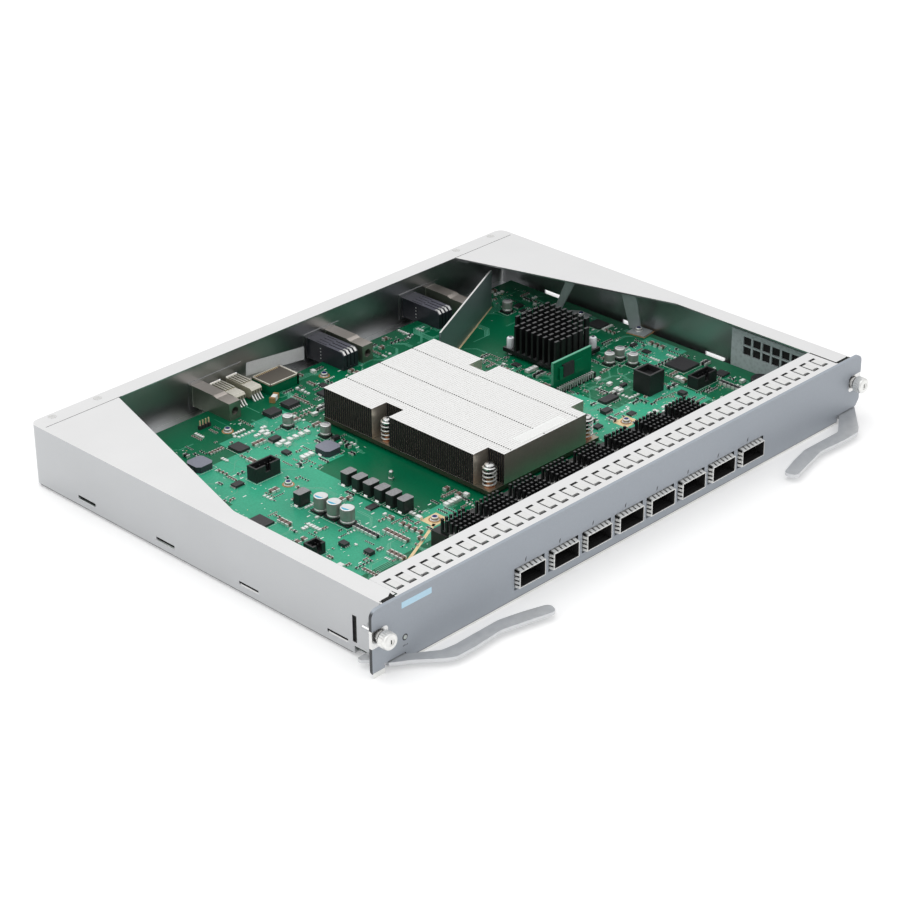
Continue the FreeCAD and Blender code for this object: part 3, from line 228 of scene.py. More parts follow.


# Materials that follow the tilt of their faces (ZINC, PAINT, FIN_METAL, SINK_BASE, BLACK_METAL, FERRITE,
# CAN, BEIGE, SLATE, CAST, INDUCTOR) carry painted light: upward faces paler and sides darker. PAINT and
# FIN_METAL also get painted shade on the faces that look left.
ZINC = make_painted_light("zinc_sheet", (0.9, 0.9, 0.9), (0.49, 0.5, 0.51), 1.0, 0.33, 0.03, 25)
STRAP = surface("strap_steel", (0.4, 0.44, 0.45), 0.3, (0.4, 0.5), 300, 0.05)
BAFFLE = surface("baffle_steel", (0.2, 0.27, 0.27), 0.6, (0.3, 0.4), 300, 0.05)
GALVANISED = make_galvanised("galvanised_sheet", (0.46, 0.52, 0.53))
PLATED = surface("plated_steel", (0.76, 0.76, 0.75), 1.0, (0.22, 0.3), 500)
BRASS = surface("brass", (0.75, 0.6, 0.35), 1.0, (0.25, 0.35), 500)
SPRING = surface("spring_steel", (0.82, 0.82, 0.81), 0.7, (0.3, 0.36), 500, 0.03)
LEVER = surface("plated_lever", (0.66, 0.67, 0.68), 0.75, (0.36, 0.44), 260, 0.04, 0.04)
PAINT = make_painted_light("panel_paint", (0.36, 0.4, 0.45), (0.345, 0.375, 0.415), 0.25, 0.45, 0.04, 900,
                      left_shade=(0.12, 0.12, 0.12))
MASK = make_board_material("solder_mask", (0.0, 0.145, 0.062), 0.3)
MILKY_MASK = make_board_material("thin_mask", (0.045, 0.41, 0.245), 0.35)
FIN_METAL = make_painted_light("fin_sheet", (0.99, 0.99, 0.98), (0.85, 0.78, 0.68), 0.9, 0.36, 0.05,
                          left_shade=(0.08, 0.07, 0.055))
SINK_BASE = make_painted_light("sink_base", (0.42, 0.38, 0.3), (0.12, 0.11, 0.08), 0.8, 0.3)
BLACK_METAL = make_painted_light("black_anodised", (0.06, 0.06, 0.062), (0.009, 0.009, 0.01), 0.2, 0.4)
CHIP = surface("chip_black", (0.025, 0.024, 0.027), 0.0, (0.4, 0.55), 900)
BLACK_PLASTIC = surface("black_plastic", (0.012, 0.012, 0.013), 0.0, (0.35, 0.5), 900)
DARK = surface("deep_shade", (0.004, 0.004, 0.004), 0.0, (0.8, 0.9), 900)
FERRITE = make_painted_light("ferrite", (0.24, 0.25, 0.31), (0.045, 0.05, 0.065), 0.1, 0.45)
CAN = make_painted_light("can_lacquer", (0.8, 0.8, 0.8), (0.33, 0.36, 0.33), 0.55, 0.3, 0.04)
BEIGE = make_painted_light("beige_plastic", (0.82, 0.79, 0.7), (0.4, 0.38, 0.28), 0.0, 0.45)
SLATE = make_painted_light("slate_plastic", (0.12, 0.12, 0.15), (0.02, 0.022, 0.03), 0.0, 0.3)
WELL = surface("socket_well", (0.13, 0.115, 0.095), 0.0, (0.4, 0.5), 600, 0.05)
CAST = make_painted_light("cast_metal", (0.68, 0.62, 0.57), (0.24, 0.28, 0.22), 0.75, 0.32, 0.05)
CAGE = surface("cage_metal", (0.84, 0.84, 0.82), 0.7, (0.3, 0.36), 400, 0.03)
NAVY = surface("screw_recess", (0.01, 0.02, 0.14), 0.3, (0.3, 0.4), 400, 0.03)
CAGE_SHADE = surface("cage_shade", (0.05, 0.05, 0.05), 0.6, (0.4, 0.5), 400, 0.03)
PIPE = surface("clear_pipe", (0.86, 0.9, 0.88), 0.0, (0.1, 0.18), 300, Transmission_Weight=0.5)
GOLD = surface("gold_plate", (0.86, 0.66, 0.38), 0.3, (0.4, 0.5), 800)
BRONZE = surface("ground_pad", (0.5, 0.27, 0.11), 0.4, (0.35, 0.45), 800)
SOLDER = surface("solder", (0.85, 0.85, 0.83), 0.6, (0.3, 0.4), 900)
CERAMIC = surface("ceramic_brown", (0.17, 0.11, 0.09), 0.0, (0.35, 0.45), 900)
RESISTOR = surface("resistor_body", (0.012, 0.012, 0.014), 0.0, (0.3, 0.4), 900)
WHITE = surface("white_print", (0.86, 0.88, 0.86), 0.0, (0.45, 0.55), 900, 0.03)
TRACE = surface("covered_copper", (0.1, 0.4, 0.26), 0.1, (0.3, 0.4), 900, 0.1, 0.0)
LABEL = surface("panel_label", (0.48, 0.7, 0.84), 0.0, (0.4, 0.5), 700, 0.03)
PAPER = surface("paper_label", (0.85, 0.86, 0.86), 0.0, (0.45, 0.55), 700, 0.03)
CYAN = surface("can_marking", (0.05, 0.42, 0.62), 0.2, (0.3, 0.4), 700)
VIOLET = surface("can_marking_dark", (0.07, 0.06, 0.11), 0.2, (0.3, 0.4), 700)
COPPER = surface("copper", (0.6, 0.3, 0.18), 0.9, (0.28, 0.38), 700)
NYLON = surface("push_pin_nylon", (0.8, 0.82, 0.86), 0.0, (0.35, 0.45), 700, 0.03)
INDUCTOR = make_painted_light("moulded_inductor", (0.3, 0.3, 0.31), (0.016, 0.02, 0.019), 0.0, 0.4, 0.35)

NODE_MATERIALS = {
    "zinc_sheet": ZINC, "steel_hardware": PLATED, "brass_hardware": BRASS,
    "spring_steel": SPRING, "plated_lever": LEVER, "panel_paint": PAINT, "solder_mask": MASK,
    "heatsink_metal": FIN_METAL, "black_heatsink": BLACK_METAL, "chip_black": CHIP,
    "black_plastic": BLACK_PLASTIC, "ferrite": FERRITE, "can_aluminium": CAN,
    "beige_plastic": BEIGE, "cast_metal": CAST, "cage_metal": CAGE, "clear_pipe": PIPE,
}


def dress_nodes():
    """Every CAD node gets the material of its slot in the record."""
    special = {"power_inductors": INDUCTOR, "heatsink_base": SINK_BASE, "vent_bracket": GALVANISED,
               "backplane_connector_left": SLATE, "backplane_connector_right": SLATE}
    for part in frame["record"]["subparts"]:
        node = NODES[part["node"]]
        node.data.materials.clear()
        node.data.materials.append(special.get(part["node"], NODE_MATERIALS[part["material_slot"]]))


# ---- mesh building ----
def circle(count):
    """Angles of that many points evenly round a circle."""
    return [2 * math.pi * k / count for k in range(count)]


def polar(radius, angle):
    return radius * math.cos(angle), radius * math.sin(angle)


class Piece:
    """Gathers faces in millimetres, then becomes one object that rides on a body."""

    def __init__(self, *materials):
        self.materials = materials
        self.points, self.faces, self.picks = [], [], []

    def loft(self, rings, material=0):
        """Joins rings that run anticlockwise seen from the last one, and closes both ends."""
        n, start, last = len(rings[0]), len(self.points), (len(rings) - 1) * len(rings[0])
        faces = [range(n)[::-1], range(last, last + n)]
        for a in range(0, last, n):
            faces += [(a + k, a + (k + 1) % n, a + n + (k + 1) % n, a + n + k) for k in range(n)]
        self.points += [point for ring in rings for point in ring]
        self.faces += [tuple(start + i for i in face) for face in faces]
        self.picks += [material] * len(faces)

    def prism(self, outline, low, high, axis="z", material=0):
        """An outline extruded along an axis: (x, y) along z, (x, z) along y or (y, z) along x."""
        place = {"z": lambda a, b, h: (a, b, h), "y": lambda a, b, h: (a, h, b),
                 "x": lambda a, b, h: (h, a, b)}[axis]
        self.loft([[place(a, b, h) for a, b in outline] for h in (low, high)], material)

    def block(self, x, y, half_x, half_y, z0, z1, material=0, turn=0.0):
        """A box by its upright middle line and half its sizes; turn spins it, in radians."""
        c, s = polar(1, turn)
        corners = ((-half_x, -half_y), (half_x, -half_y), (half_x, half_y), (-half_x, half_y))
        self.prism([(x + a * c - b * s, y + a * s + b * c) for a, b in corners], *sorted((z0, z1)),
                   material=material)

    def box(self, x0, x1, y0, y1, z0, z1, material=0):
        """A box by its ends, in either order."""
        self.block((x0 + x1) / 2, (y0 + y1) / 2, abs(x1 - x0) / 2, abs(y1 - y0) / 2, z0, z1, material)

    def bar(self, start, end, half, z0, z1, material=0):
        """A level bar from one point of the plan to another."""
        (ax, ay), (bx, by) = start, end
        self.block((ax + bx) / 2, (ay + by) / 2, math.hypot(bx - ax, by - ay) / 2, half, z0, z1,
                   material, math.atan2(by - ay, bx - ax))

    def turned(self, profile, centre, sides=24, axis="z", material=0):
        """Rings of (radius, height) round an upright axis or one along y, closed at both ends."""
        place = {"z": lambda a, b, h: (a, b, h), "y": lambda a, b, h: (b, h, a)}[axis]
        rings = [[place(*polar(r, angle), h) for angle in circle(sides)] for r, h in profile]
        self.loft([[tuple(c + o for c, o in zip(centre, point)) for point in ring] for ring in rings],
                  material)

    def tube(self, path, radius, sides=8, material=0):
        """A round wire along a list of points."""
        rings = []
        for i, point in enumerate(path):
            ahead = Vector(path[min(i + 1, len(path) - 1)]) - Vector(path[max(i - 1, 0)])
            side = ahead.cross(Vector((0, 0, 1))).normalized()
            other = side.cross(ahead.normalized())
            rings.append([tuple(Vector(point) + side * a + other * b)
                          for a, b in (polar(radius, angle) for angle in circle(sides))])
        self.loft(rings, material)

    def build(self, name, body="card", replaces=(), bevel=0.0):
        """Makes the object; bevel rounds its edges by that many millimetres."""
        mesh = bpy.data.meshes.new(name)
        mesh.from_pydata([at(*p) for p in self.points], [], self.faces)
        for material in self.materials:
            mesh.materials.append(material)
        mesh.polygons.foreach_set("material_index", self.picks)
        mesh.polygons.foreach_set("use_smooth", [True] * len(self.faces))
        mesh.set_sharp_from_angle(angle=math.radians(32))
        thing = bpy.data.objects.new(name, mesh)
        bpy.context.scene.collection.objects.link(thing)
        if bevel:
            rounding = thing.modifiers.new("rounding", "BEVEL")
            rounding.width = bevel * MM
            rounding.segments = 2
            rounding.limit_method = "ANGLE"
        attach(thing, body)
        if replaces:
            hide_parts(*replaces)


# ---- heatsinks ----
FIN_COUNT = 76
FIN_SHEET = 0.22
FIN_GAP = 0.12                       # between the folded edges of neighbouring fins
LATCH_HALF, LATCH_DEPTH = 0.45, 0.75    # the tabs that lock the fins together
SCREW_REACH = 6.1                    # half of each cleared square round a spring screw
CORE_INSET = 0.35                    # how deep the fins' air gaps show
RECESS_REACH = 1.5                   # half the span of the cross in a spring screw's head


def screw_squares():
    """Middles of the four spring screws."""
    x0, x1, y0, y1 = extent("heatsink_screws")[:4]
    inset = 3.3
    return [(x, y) for x in (x0 + inset, x1 - inset) for y in (y0 + inset, y1 - inset)]


def fin_spans(y0, y1):
    """x ranges that a fin covers between the cleared squares."""
    left, right = extent("heatsink_fins")[:2]
    for x, y in screw_squares():
        if y0 < y + SCREW_REACH and y1 > y - SCREW_REACH:
            if x < (left + right) / 2:
                left = x + SCREW_REACH
            else:
                right = x - SCREW_REACH
    return left, right


def make_fins():
    """Stack of folded sheet fins with a row of interlock holes along three lines."""
    x0, x1, y0, y1, z0, z1 = extent("heatsink_fins")
    pitch = (y1 - y0) / FIN_COUNT
    latches = [x0 + (x1 - x0) * share for share in (0.2, 0.5, 0.8)]
    stack = Piece(FIN_METAL, DARK)
    for i in range(FIN_COUNT):
        a = y0 + i * pitch
        b = a + pitch - FIN_GAP
        left, right = fin_spans(a, b)
        stack.box(left, right, a, a + FIN_SHEET, z0, z1)
        stack.box(left, right, a + FIN_SHEET, b, z0, z0 + FIN_SHEET)
        edges = [left] + [x + side * LATCH_HALF for x in latches for side in (-1, 1)] + [right]
        for p, q in zip(edges[::2], edges[1::2]):
            if q > p:
                stack.box(p, q, a + FIN_SHEET, b, z1 - FIN_SHEET, z1)
        for x in latches:
            stack.box(x - LATCH_HALF, x + LATCH_HALF, a + FIN_SHEET, a + LATCH_DEPTH, z1 - FIN_SHEET, z1)
        # Dark blocks in the air gaps between the fins: painted shade.
        stack.box(left + CORE_INSET, right - CORE_INSET, a + FIN_SHEET + 0.02, a + pitch - 0.02,
                  z0 + FIN_SHEET + 0.05, z1 - FIN_SHEET - 0.1, 1)
    stack.build("fin_stack", replaces=["heatsink_fins"])


def make_springs():
    """Round-wire springs round the spring screws."""
    z0, z1 = extent("heatsink_springs")[4:]
    turns, steps, wire, radius = 4, 18, 0.5, 3.7
    springs = Piece(SPRING)
    for x, y in screw_squares():
        path = []
        for k in range(turns * steps + 1):
            a, b = polar(radius, 2 * math.pi * k / steps)
            path.append((x + a, y + b, z0 + wire + k / (turns * steps) * (z1 - z0 - 2 * wire)))
        springs.tube(path, wire)
    springs.build("screw_springs", replaces=["heatsink_springs"])


def make_spring_screws():
    """Spring screws with a domed head, a dark shank and a copper sleeve below."""
    z0, z1 = extent("heatsink_screws")[4:]
    foot, top = extent("heatsink_base")[5], z1 - z0
    screws = Piece(PLATED, COPPER, BLACK_METAL)
    for x, y in screw_squares():
        screws.turned([(1.4, 0), (1.4, top - 3.1)], (x, y, z0), 20, material=2)
        screws.turned([(3.8, top - 3.0), (4.1, top - 2.7), (4.1, top - 1.9), (3.2, top - 1.6),
                       (3.2, top - 1.0), (2.8, top - 0.3), (1.9, top - 0.02)], (x, y, z0), 28)
        screws.turned([(1.9, 0), (1.9, 5.0)], (x, y, foot), 20, material=1)
        screws.turned([(3.4, 0), (3.4, 0.5), (2.2, 0.9)], (x, y, foot), 24, material=1)
        # The dark cross on top of each head stands for its recess: painted shade.
        for turn in (0.4, 0.4 + math.pi / 2):
            screws.block(x, y, RECESS_REACH, RECESS_REACH * 0.2, z1 - 0.32, z1, 2, turn)
    screws.build("spring_screws", replaces=["heatsink_screws"])


def push_pin_spots():
    """Middles of the two push pins, at opposite corners of their heatsink."""
    x0, x1, y0, y1 = extent("push_pins")[:4]
    radius = 2.6
    return [(x0 + radius, y1 - radius), (x1 - radius, y0 + radius)]


def make_pin_sink():
    """Black cross-cut heatsink with blade-shaped pins, cleared round the push pins."""
    x0, x1, y0, y1, z0, z1 = extent("pin_heatsink")
    base_top = z0 + 2.6
    across, along = 8, 10
    blade_x, blade_y, clear = 3.4, 1.5, 4.2
    px = (x1 - x0 - blade_x) / (across - 1)
    py = (y1 - y0 - blade_y) / (along - 1)
    sink = Piece(BLACK_METAL)
    sink.box(x0, x1, y0, y1, z0, base_top)
    for i in range(across):
        for j in range(along):
            cx, cy = x0 + i * px, y0 + j * py
            if not any(abs(cx + blade_x / 2 - x) < clear and abs(cy + blade_y / 2 - y) < clear
                       for x, y in push_pin_spots()):
                sink.box(cx, cx + blade_x, cy, cy + blade_y, base_top - 0.1, z1)
    sink.build("pin_fin_sink", replaces=["pin_heatsink"])


def make_push_pins():
    """Pale push pins: a wide barrel on a narrow stem, with a dark dot on top."""
    z0, z1 = extent("push_pins")[4:]
    top = z1 - z0
    pins = Piece(NYLON, VIOLET)
    for x, y in push_pin_spots():
        pins.turned([(1.4, 0), (1.4, 3.0), (2.3, 4.6), (2.35, top - 1.2), (2.1, top - 0.5),
                     (1.2, top - 0.1)], (x, y, z0), 24)
        pins.turned([(1.1, top - 0.15), (0.9, top)], (x, y, z0), 16, material=1)
    pins.build("push_pin_set", replaces=["push_pins"])


def make_riding_sinks():
    """A black pin heatsink on each cage."""
    x0, _, y0, y1, z0, z1 = extent("cage_heatsinks")
    width = 2 * (PORTS[0] - x0)
    nx, ny, pin = 6, 9, 1.35
    px, py = (width - pin) / (nx - 1), (y1 - y0 - pin) / (ny - 1)
    sinks = Piece(BLACK_METAL)
    for centre in PORTS:
        left = centre - width / 2
        sinks.box(left, left + width, y0, y1, z0, z0 + 1.8)
        for i in range(nx):
            for j in range(ny):
                cx, cy = left + i * px, y0 + j * py
                sinks.box(cx, cx + pin, cy, cy + pin, z0 + 1.7, z1)
    sinks.build("riding_sinks", replaces=["cage_heatsinks"])


# ---- board details ----
# Packages with a solid each, which get a white outline.
PACKAGES = ("box_headers", "tall_capacitors", "small_capacitors", "power_inductors",
            "flat_inductors", "board_chips")
# Further pieces that stand on the board.
CLEAR_NODES = ["heatsink_base", "pin_heatsink", "bridge_chip", "daughter_header", "service_socket",
               "signal_connector", "power_connectors", "guide_block_left", "guide_block_centre",
               "guide_block_right", "backplane_connector_left", "backplane_connector_right",
               "front_brace", "rear_brace", "vent_bracket", "light_pipe", "buzzer", "board_post"]
CLEAR_NODES += ["cage_%d" % i for i in range(1, 9)]
# Ground of the baffle, the power packages and the pin row, as x0, x1, y0, y1.
RESERVED = ((57, 150, 203, 252), (-58, -31, 230, 256), (-95, -85, 251, 256))


def islands(node):
    """Boxes of a node's separate solids, in millimetres behind the panel."""
    mesh = NODES[node].data
    group = list(range(len(mesh.vertices)))

    def root(i):
        while group[i] != i:
            group[i] = group[group[i]]
            i = group[i]
        return i

    spots = {}
    for vertex in mesh.vertices:
        key = tuple(round(c, 6) for c in vertex.co)
        group[vertex.index] = spots.setdefault(key, vertex.index)
    for edge in mesh.edges:
        a, b = (root(i) for i in edge.vertices)
        group[a] = b
    boxes = {}
    for vertex in mesh.vertices:
        x, y, z = vertex.co.x / MM, (vertex.co.y - PANEL_Y) / MM, vertex.co.z / MM
        old = boxes.get(root(vertex.index), (x, x, y, y, z, z))
        boxes[root(vertex.index)] = (min(old[0], x), max(old[1], x), min(old[2], y),
                                     max(old[3], y), min(old[4], z), max(old[5], z))
    return sorted(boxes.values())


# How far small parts and tracks stay from the board's sides, and where they start behind the panel.
PART_MARGIN, TRACK_MARGIN, FRONT_LINE = 6, 4, 8
TAKEN = []


def take(x0, x1, y0, y1, margin=0.4):
    TAKEN.append((x0 - margin, x1 + margin, y0 - margin, y1 + margin))


def free(x0, x1, y0, y1):
    """True where a box on the board touches nothing placed so far."""
    if x0 < BOARD[0] + PART_MARGIN or x1 > BOARD[1] - PART_MARGIN or y0 < FRONT_LINE or y1 > BOARD[3] - 1:
        return False
    return all(x1 <= a or x0 >= b or y1 <= c or y0 >= d for a, b, c, d in TAKEN)


def spots(rng, area, count):
    """Random points of an area, drawn one by one."""
    x0, x1, y0, y1 = area
    for _ in range(count):
        yield rng.uniform(x0, x1), rng.uniform(y0, y1)


def fill_taken():
    """Takes the ground of everything that has its own place."""
    for node in CLEAR_NODES:
        take(*extent(node)[:4])
    for node in (*PACKAGES, "board_screws"):
        for box in islands(node):
            take(*box[:4], 0.8)
    for area in RESERVED:
        take(*area)


def add_chip_part(piece, x, y, length, width, height, body, along_x):
    """Two-ended chip part: a body between metal caps."""
    cap, slim = length * 0.22, 0.03
    for start, end, inset, rise, material in (
            (cap * 0.8, length - cap * 0.8, slim, height, body),
            (0, cap, 0, height * 0.96, 2), (length - cap, length, 0, height * 0.96, 2)):
        spans = (start, end), (inset, width - inset)
        (x0, x1), (y0, y1) = spans if along_x else spans[::-1]
        piece.box(x + x0, x + x1, y + y0, y + y1, BOARD_TOP, BOARD_TOP + rise, material)


def add_small_outline(piece, x, y, w, d, h, pins, along_x):
    """Flat package with a row of leads on two sides."""
    z, reach, half = BOARD_TOP, 0.9, 0.2
    piece.box(x, x + w, y, y + d, z + 0.15, z + h)
    for i in range(pins):
        share = (i + 0.5) / pins
        for end in (0, 1):
            if along_x:
                piece.block(x + share * w, y - reach / 2 + end * (d + reach), half, reach / 2,
                            z, z + 0.3 + h * 0.25, 2)
            else:
                piece.block(x - reach / 2 + end * (w + reach), y + share * d, reach / 2, half,
                            z, z + 0.3 + h * 0.25, 2)


# Busy areas of the board as x0, x1, y0, y1 and how many groups of parts each holds.
BUSY_AREAS = ((-180, -88, 60, 150, 80), (-180, -90, 150, 245, 75), (-88, -42, 165, 248, 60),
              (-88, -44, 62, 96, 30), (-40, 58, 208, 262, 90), (56, 100, 66, 136, 60),
              (56, 100, 136, 205, 70), (100, 180, 66, 150, 120), (146, 180, 150, 260, 70),
              (60, 145, 225, 262, 60), (-180, -100, 20, 60, 60), (112, 180, 20, 66, 60))
# Chip parts as length, width and height, and flat packages as x and y sizes.
PART_SIZES = ((1.3, 0.7, 0.4), (1.6, 0.8, 0.6), (2.0, 1.25, 0.9), (2.5, 1.5, 1.1), (3.8, 2.4, 1.8))
PACKAGE_SIZES = ((3.9, 4.9), (5.0, 4.0), (2.9, 1.6), (6.5, 4.4), (7.0, 7.0), (4.6, 2.6))


def make_small_parts(rng):
    """Chip resistors, capacitors, diodes and small packages, in groups."""
    parts = Piece(CHIP, CERAMIC, SOLDER, WHITE, RESISTOR)
    for *area, groups in BUSY_AREAS:
        for x, y in spots(rng, area, groups // 9):
            w, d = rng.choice(PACKAGE_SIZES)
            if free(x - 1.2, x + w + 1.2, y - 1.2, y + d + 1.2):
                add_small_outline(parts, x, y, w, d, rng.choice((1.1, 1.6, 2.2)), max(2, int(w / 1.2)),
                                  rng.random() < 0.5)
                take(x - 1, x + w + 1, y - 1, y + d + 1)
        for cx, cy in spots(rng, area, groups):
            length, width, height = rng.choice(PART_SIZES)
            body = rng.choice([1, 1, 4, 4, 3])
            along_x = rng.random() < 0.5
            step = (width + 0.7) if rng.random() < 0.7 else (length + 0.6)
            for k in range(rng.randint(1, 6)):
                x = cx + (0 if along_x else k * step)
                y = cy + (k * step if along_x else 0)
                w, d = (length, width) if along_x else (width, length)
                if free(x, x + w, y, y + d):
                    add_chip_part(parts, x, y, length, width, height, body, along_x)
                    take(x, x + w, y, y + d, 0.2)
    parts.build("small_parts")


# Areas where the copper lies nearer the surface and the mask looks milky.
MILKY_AREAS = ((-180, -86, 66, 141), (-86, -60, 60, 90), (-140, -96, 160, 215), (-180, -150, 160, 240),
               (60, 92, 96, 128), (104, 140, 68, 88), (-70, -44, 196, 238), (150, 182, 116, 146),
               (-180, -110, 24, 60), (56, 142, 64, 96), (-150, -80, 136, 172), (-98, -58, 170, 232))


def make_pours(rng):
    """Copper areas under a thinner mask, with straight edges."""
    pours = Piece(MILKY_MASK)
    for x0, x1, y0, y1 in MILKY_AREAS:
        pours.box(x0, x1, y0, y1, BOARD_TOP - 0.01, BOARD_TOP + 0.012 + 0.004 * rng.random())
    pours.build("copper_pours")


def make_traces(rng):
    """Copper tracks under the mask: parallel runs with 45 degree turns, and vias."""
    tracks = Piece(TRACE, WHITE, GOLD)
    z = BOARD_TOP
    for *area, groups in BUSY_AREAS:
        for x, y in spots(rng, area, groups // 4):
            heading = rng.choice((0, 1, 2, 3))
            width = rng.choice((0.2, 0.2, 0.3, 0.5))
            legs = [(rng.uniform(3, 14), rng.choice((-1, 1))) for _ in range(3)]
            for k in range(rng.randint(1, 5)):
                angle = heading * math.pi / 2
                a, b = polar(k * width * 2.5, angle)
                px, py = x - b, y + a
                for length, bend in legs:
                    a, b = polar(length, angle)
                    qx, qy = px + a, py + b
                    if not (BOARD[0] + TRACK_MARGIN < qx < BOARD[1] - TRACK_MARGIN
                            and FRONT_LINE < qy < BOARD[3] - 2):
                        break
                    tracks.bar((px, py), (qx, qy), width / 2, z, z + 0.02 + 0.015 * rng.random())
                    px, py = qx, qy
                    angle += bend * math.pi / 4
        for x, y in spots(rng, area, groups // 2):
            tracks.turned([(0.35, 0), (0.35, 0.045)], (x, y, z), 6, material=rng.choice((0, 1, 2)))
    tracks.build("tracks")


def make_silkscreen(rng):
    """White outlines round packages, and short dashes beside parts."""
    marks = Piece(WHITE)
    z0, z1 = BOARD_TOP, BOARD_TOP + 0.04

    def outline(x0, x1, y0, y1, gap=0.9, line=0.18):
        x0, x1, y0, y1 = x0 - gap, x1 + gap, y0 - gap, y1 + gap
        marks.box(x0, x1, y0, y0 + line, z0, z1)
        marks.box(x0, x1, y1 - line, y1, z0, z1)
        marks.box(x0, x0 + line, y0, y1, z0, z1)
        marks.box(x1 - line, x1, y0, y1, z0, z1)

    for box in sum((islands(node) for node in PACKAGES), []):
        outline(*box[:4])
    for *area, groups in BUSY_AREAS:
        for x, y in spots(rng, area, groups):
            w, d = rng.choice([(1.6, 0.25), (0.25, 1.6), (2.4, 0.7), (0.9, 0.5)])
            if free(x, x + w, y, y + d):
                marks.box(x, x + w, y, y + d, z0, z1 + 0.01 * rng.random())
    marks.build("silkscreen")


# Bare gold on the board: two spots beside screws, then bars as start, end and half width
# (one in front of the left heatsink, two along the baffle), then the front brace's pad.
GOLD_SPOTS = ((84.1, 81.0), (-75.4, 80.2))
GOLD_BARS = (((-79.0, 77.0), (-120.7, 57.4), 0.9), ((147.0, 248.6), (120.0, 235.8), 0.45),
             ((120.0, 235.8), (84.0, 218.7), 0.7))
BRACE_PAD = ((176.0, 160.6), (178.0, 147.2), (190.0, 148.8), (189.0, 161.5))


def make_gold_pads():
    """Bronze rings round the board's screws, and the bare gold areas."""
    pads = Piece(GOLD, BRONZE)
    z0, z1 = BOARD_TOP, BOARD_TOP + 0.06
    for x0, x1, y0, y1, _, _ in islands("board_screws"):
        pads.turned([(3.5, 0), (3.5, 0.09)], ((x0 + x1) / 2, (y0 + y1) / 2, z0), 32, material=1)
    for x, y in GOLD_SPOTS:
        pads.block(x, y, 6, 5, z0, z1)
    for start, end, half in GOLD_BARS:
        pads.bar(start, end, half, z0, z1)
    pads.prism(BRACE_PAD, z0, z1 + 0.01, material=1)
    pads.build("gold_pads")


def make_board_screw_heads():
    """Screws with a tall grooved head and a dark blue recess."""
    screws = Piece(CAGE, NAVY, CAGE_SHADE)
    for x0, x1, y0, y1, z0, z1 in islands("board_screws"):
        x, y = (x0 + x1) / 2, (y0 + y1) / 2
        head = z1 - 2.2
        screws.turned([(1.4, z0 - head), (1.4, 0), (2.6, 0), (2.6, 0.3), (2.0, 0.4), (2.05, 1.9),
                       (1.8, 2.18)], (x, y, head), 26)
        # A dark ring round the head's side stands for its groove: painted shade.
        screws.turned([(2.12, 0), (2.12, 0.35)], (x, y, head + 0.9), 26, material=2)
        screws.turned([(1.45, 0), (1.4, 0.06), (0.6, 0.07)], (x, y, z1 - 0.04), 20, material=1)
    screws.build("pan_screws", replaces=["board_screws"])


def make_cans(node, name):
    """Aluminium can capacitors: crimped can, moulded foot, solder tabs and a printed segment."""
    marking, first = (CYAN, 130) if node == "tall_capacitors" else (VIOLET, -30)
    cans = Piece(CAN, BLACK_PLASTIC, marking, SOLDER)
    for x0, x1, y0, y1, z0, z1 in islands(node):
        x, y = (x0 + x1) / 2, (y0 + y1) / 2
        r = (x1 - x0) / 2 - 0.1
        half, cut = r + 0.05, 1.3
        cans.prism([(x - half, y - half), (x + half - cut, y - half), (x + half, y - half + cut),
                    (x + half, y + half - cut), (x + half - cut, y + half), (x - half, y + half)],
                   z0 + 0.1, z0 + 1.2, material=1)
        for side in (-1, 1):
            cans.block(x, y + side * half, 0.6, 0.5, z0, z0 + 0.25, 3)
        top = z1 - z0
        cans.turned([(r - 0.7, 1.0), (r - 0.1, 1.5), (r - 0.05, 2.3), (r - 0.5, 2.8), (r - 0.05, 3.3),
                     (r - 0.03, top - 0.7), (r - 0.2, top - 0.25), (r - 0.7, top - 0.05),
                     (r - 1.0, top - 0.12), (0.3, top - 0.12)], (x, y, z0), 32)
        segment = [polar(r - 0.95, math.radians(first + 15 * k)) for k in range(9)]
        cans.prism([(x + a, y + b) for a, b in segment], z1 - 0.12, z1 - 0.08, material=2)
    cans.build(name, replaces=[node])


def make_inductor_joints():
    """Solder fillets at the ends of the moulded inductors."""
    joints = Piece(SOLDER)
    for node in ("power_inductors", "flat_inductors"):
        for x0, x1, y0, y1, z0, _ in islands(node):
            cy = (y0 + y1) / 2
            for side, x in ((-1, x0), (1, x1)):
                outline = [(x - 0.2 * side, z0), (x + 0.7 * side, z0), (x + 0.15 * side, z0 + 0.8),
                           (x - 0.2 * side, z0 + 1.0)]
                joints.prism(outline[::side], cy - 1.3, cy + 1.3, axis="y")
    joints.build("solder_fillets")


def make_daughter_details():
    """Chip, pale edges and pin rows of the small upright board."""
    x0, x1, y0, y1, _, z1 = extent("daughter_board")
    z = BOARD_TOP
    details = Piece(CHIP, TRACE, SOLDER)
    details.box(x0 + 8, x0 + 17.4, y0 - 0.32, y0 + 1.38, 14.4, 22.6)
    edge, rim = y1 - 1.5, y1 + 0.02
    details.box(x0 + 0.1, x1 - 0.1, edge, rim, z1 - 0.35, z1 + 0.04, 1)
    details.box(x0 - 0.04, x0 + 0.35, edge, rim, z + 5, z1 - 0.3, 1)
    for k in range(16):
        a = x0 + 1.2 + k * 2.0
        details.box(a, a + 0.7, y0 - 3.4, y0 - 1.0, z + 3.6, z + 4.4, 2)
        details.box(a, a + 0.7, y0 - 2.9, y0 - 2.4, z + 0.1, z + 3.8, 2)
    for k in range(7):
        a = x0 + 20.5 + k
        details.box(a, a + 0.6, edge - 0.25, edge, 15.0, 16.4 + k % 3, 2)
    details.build("daughter_details")


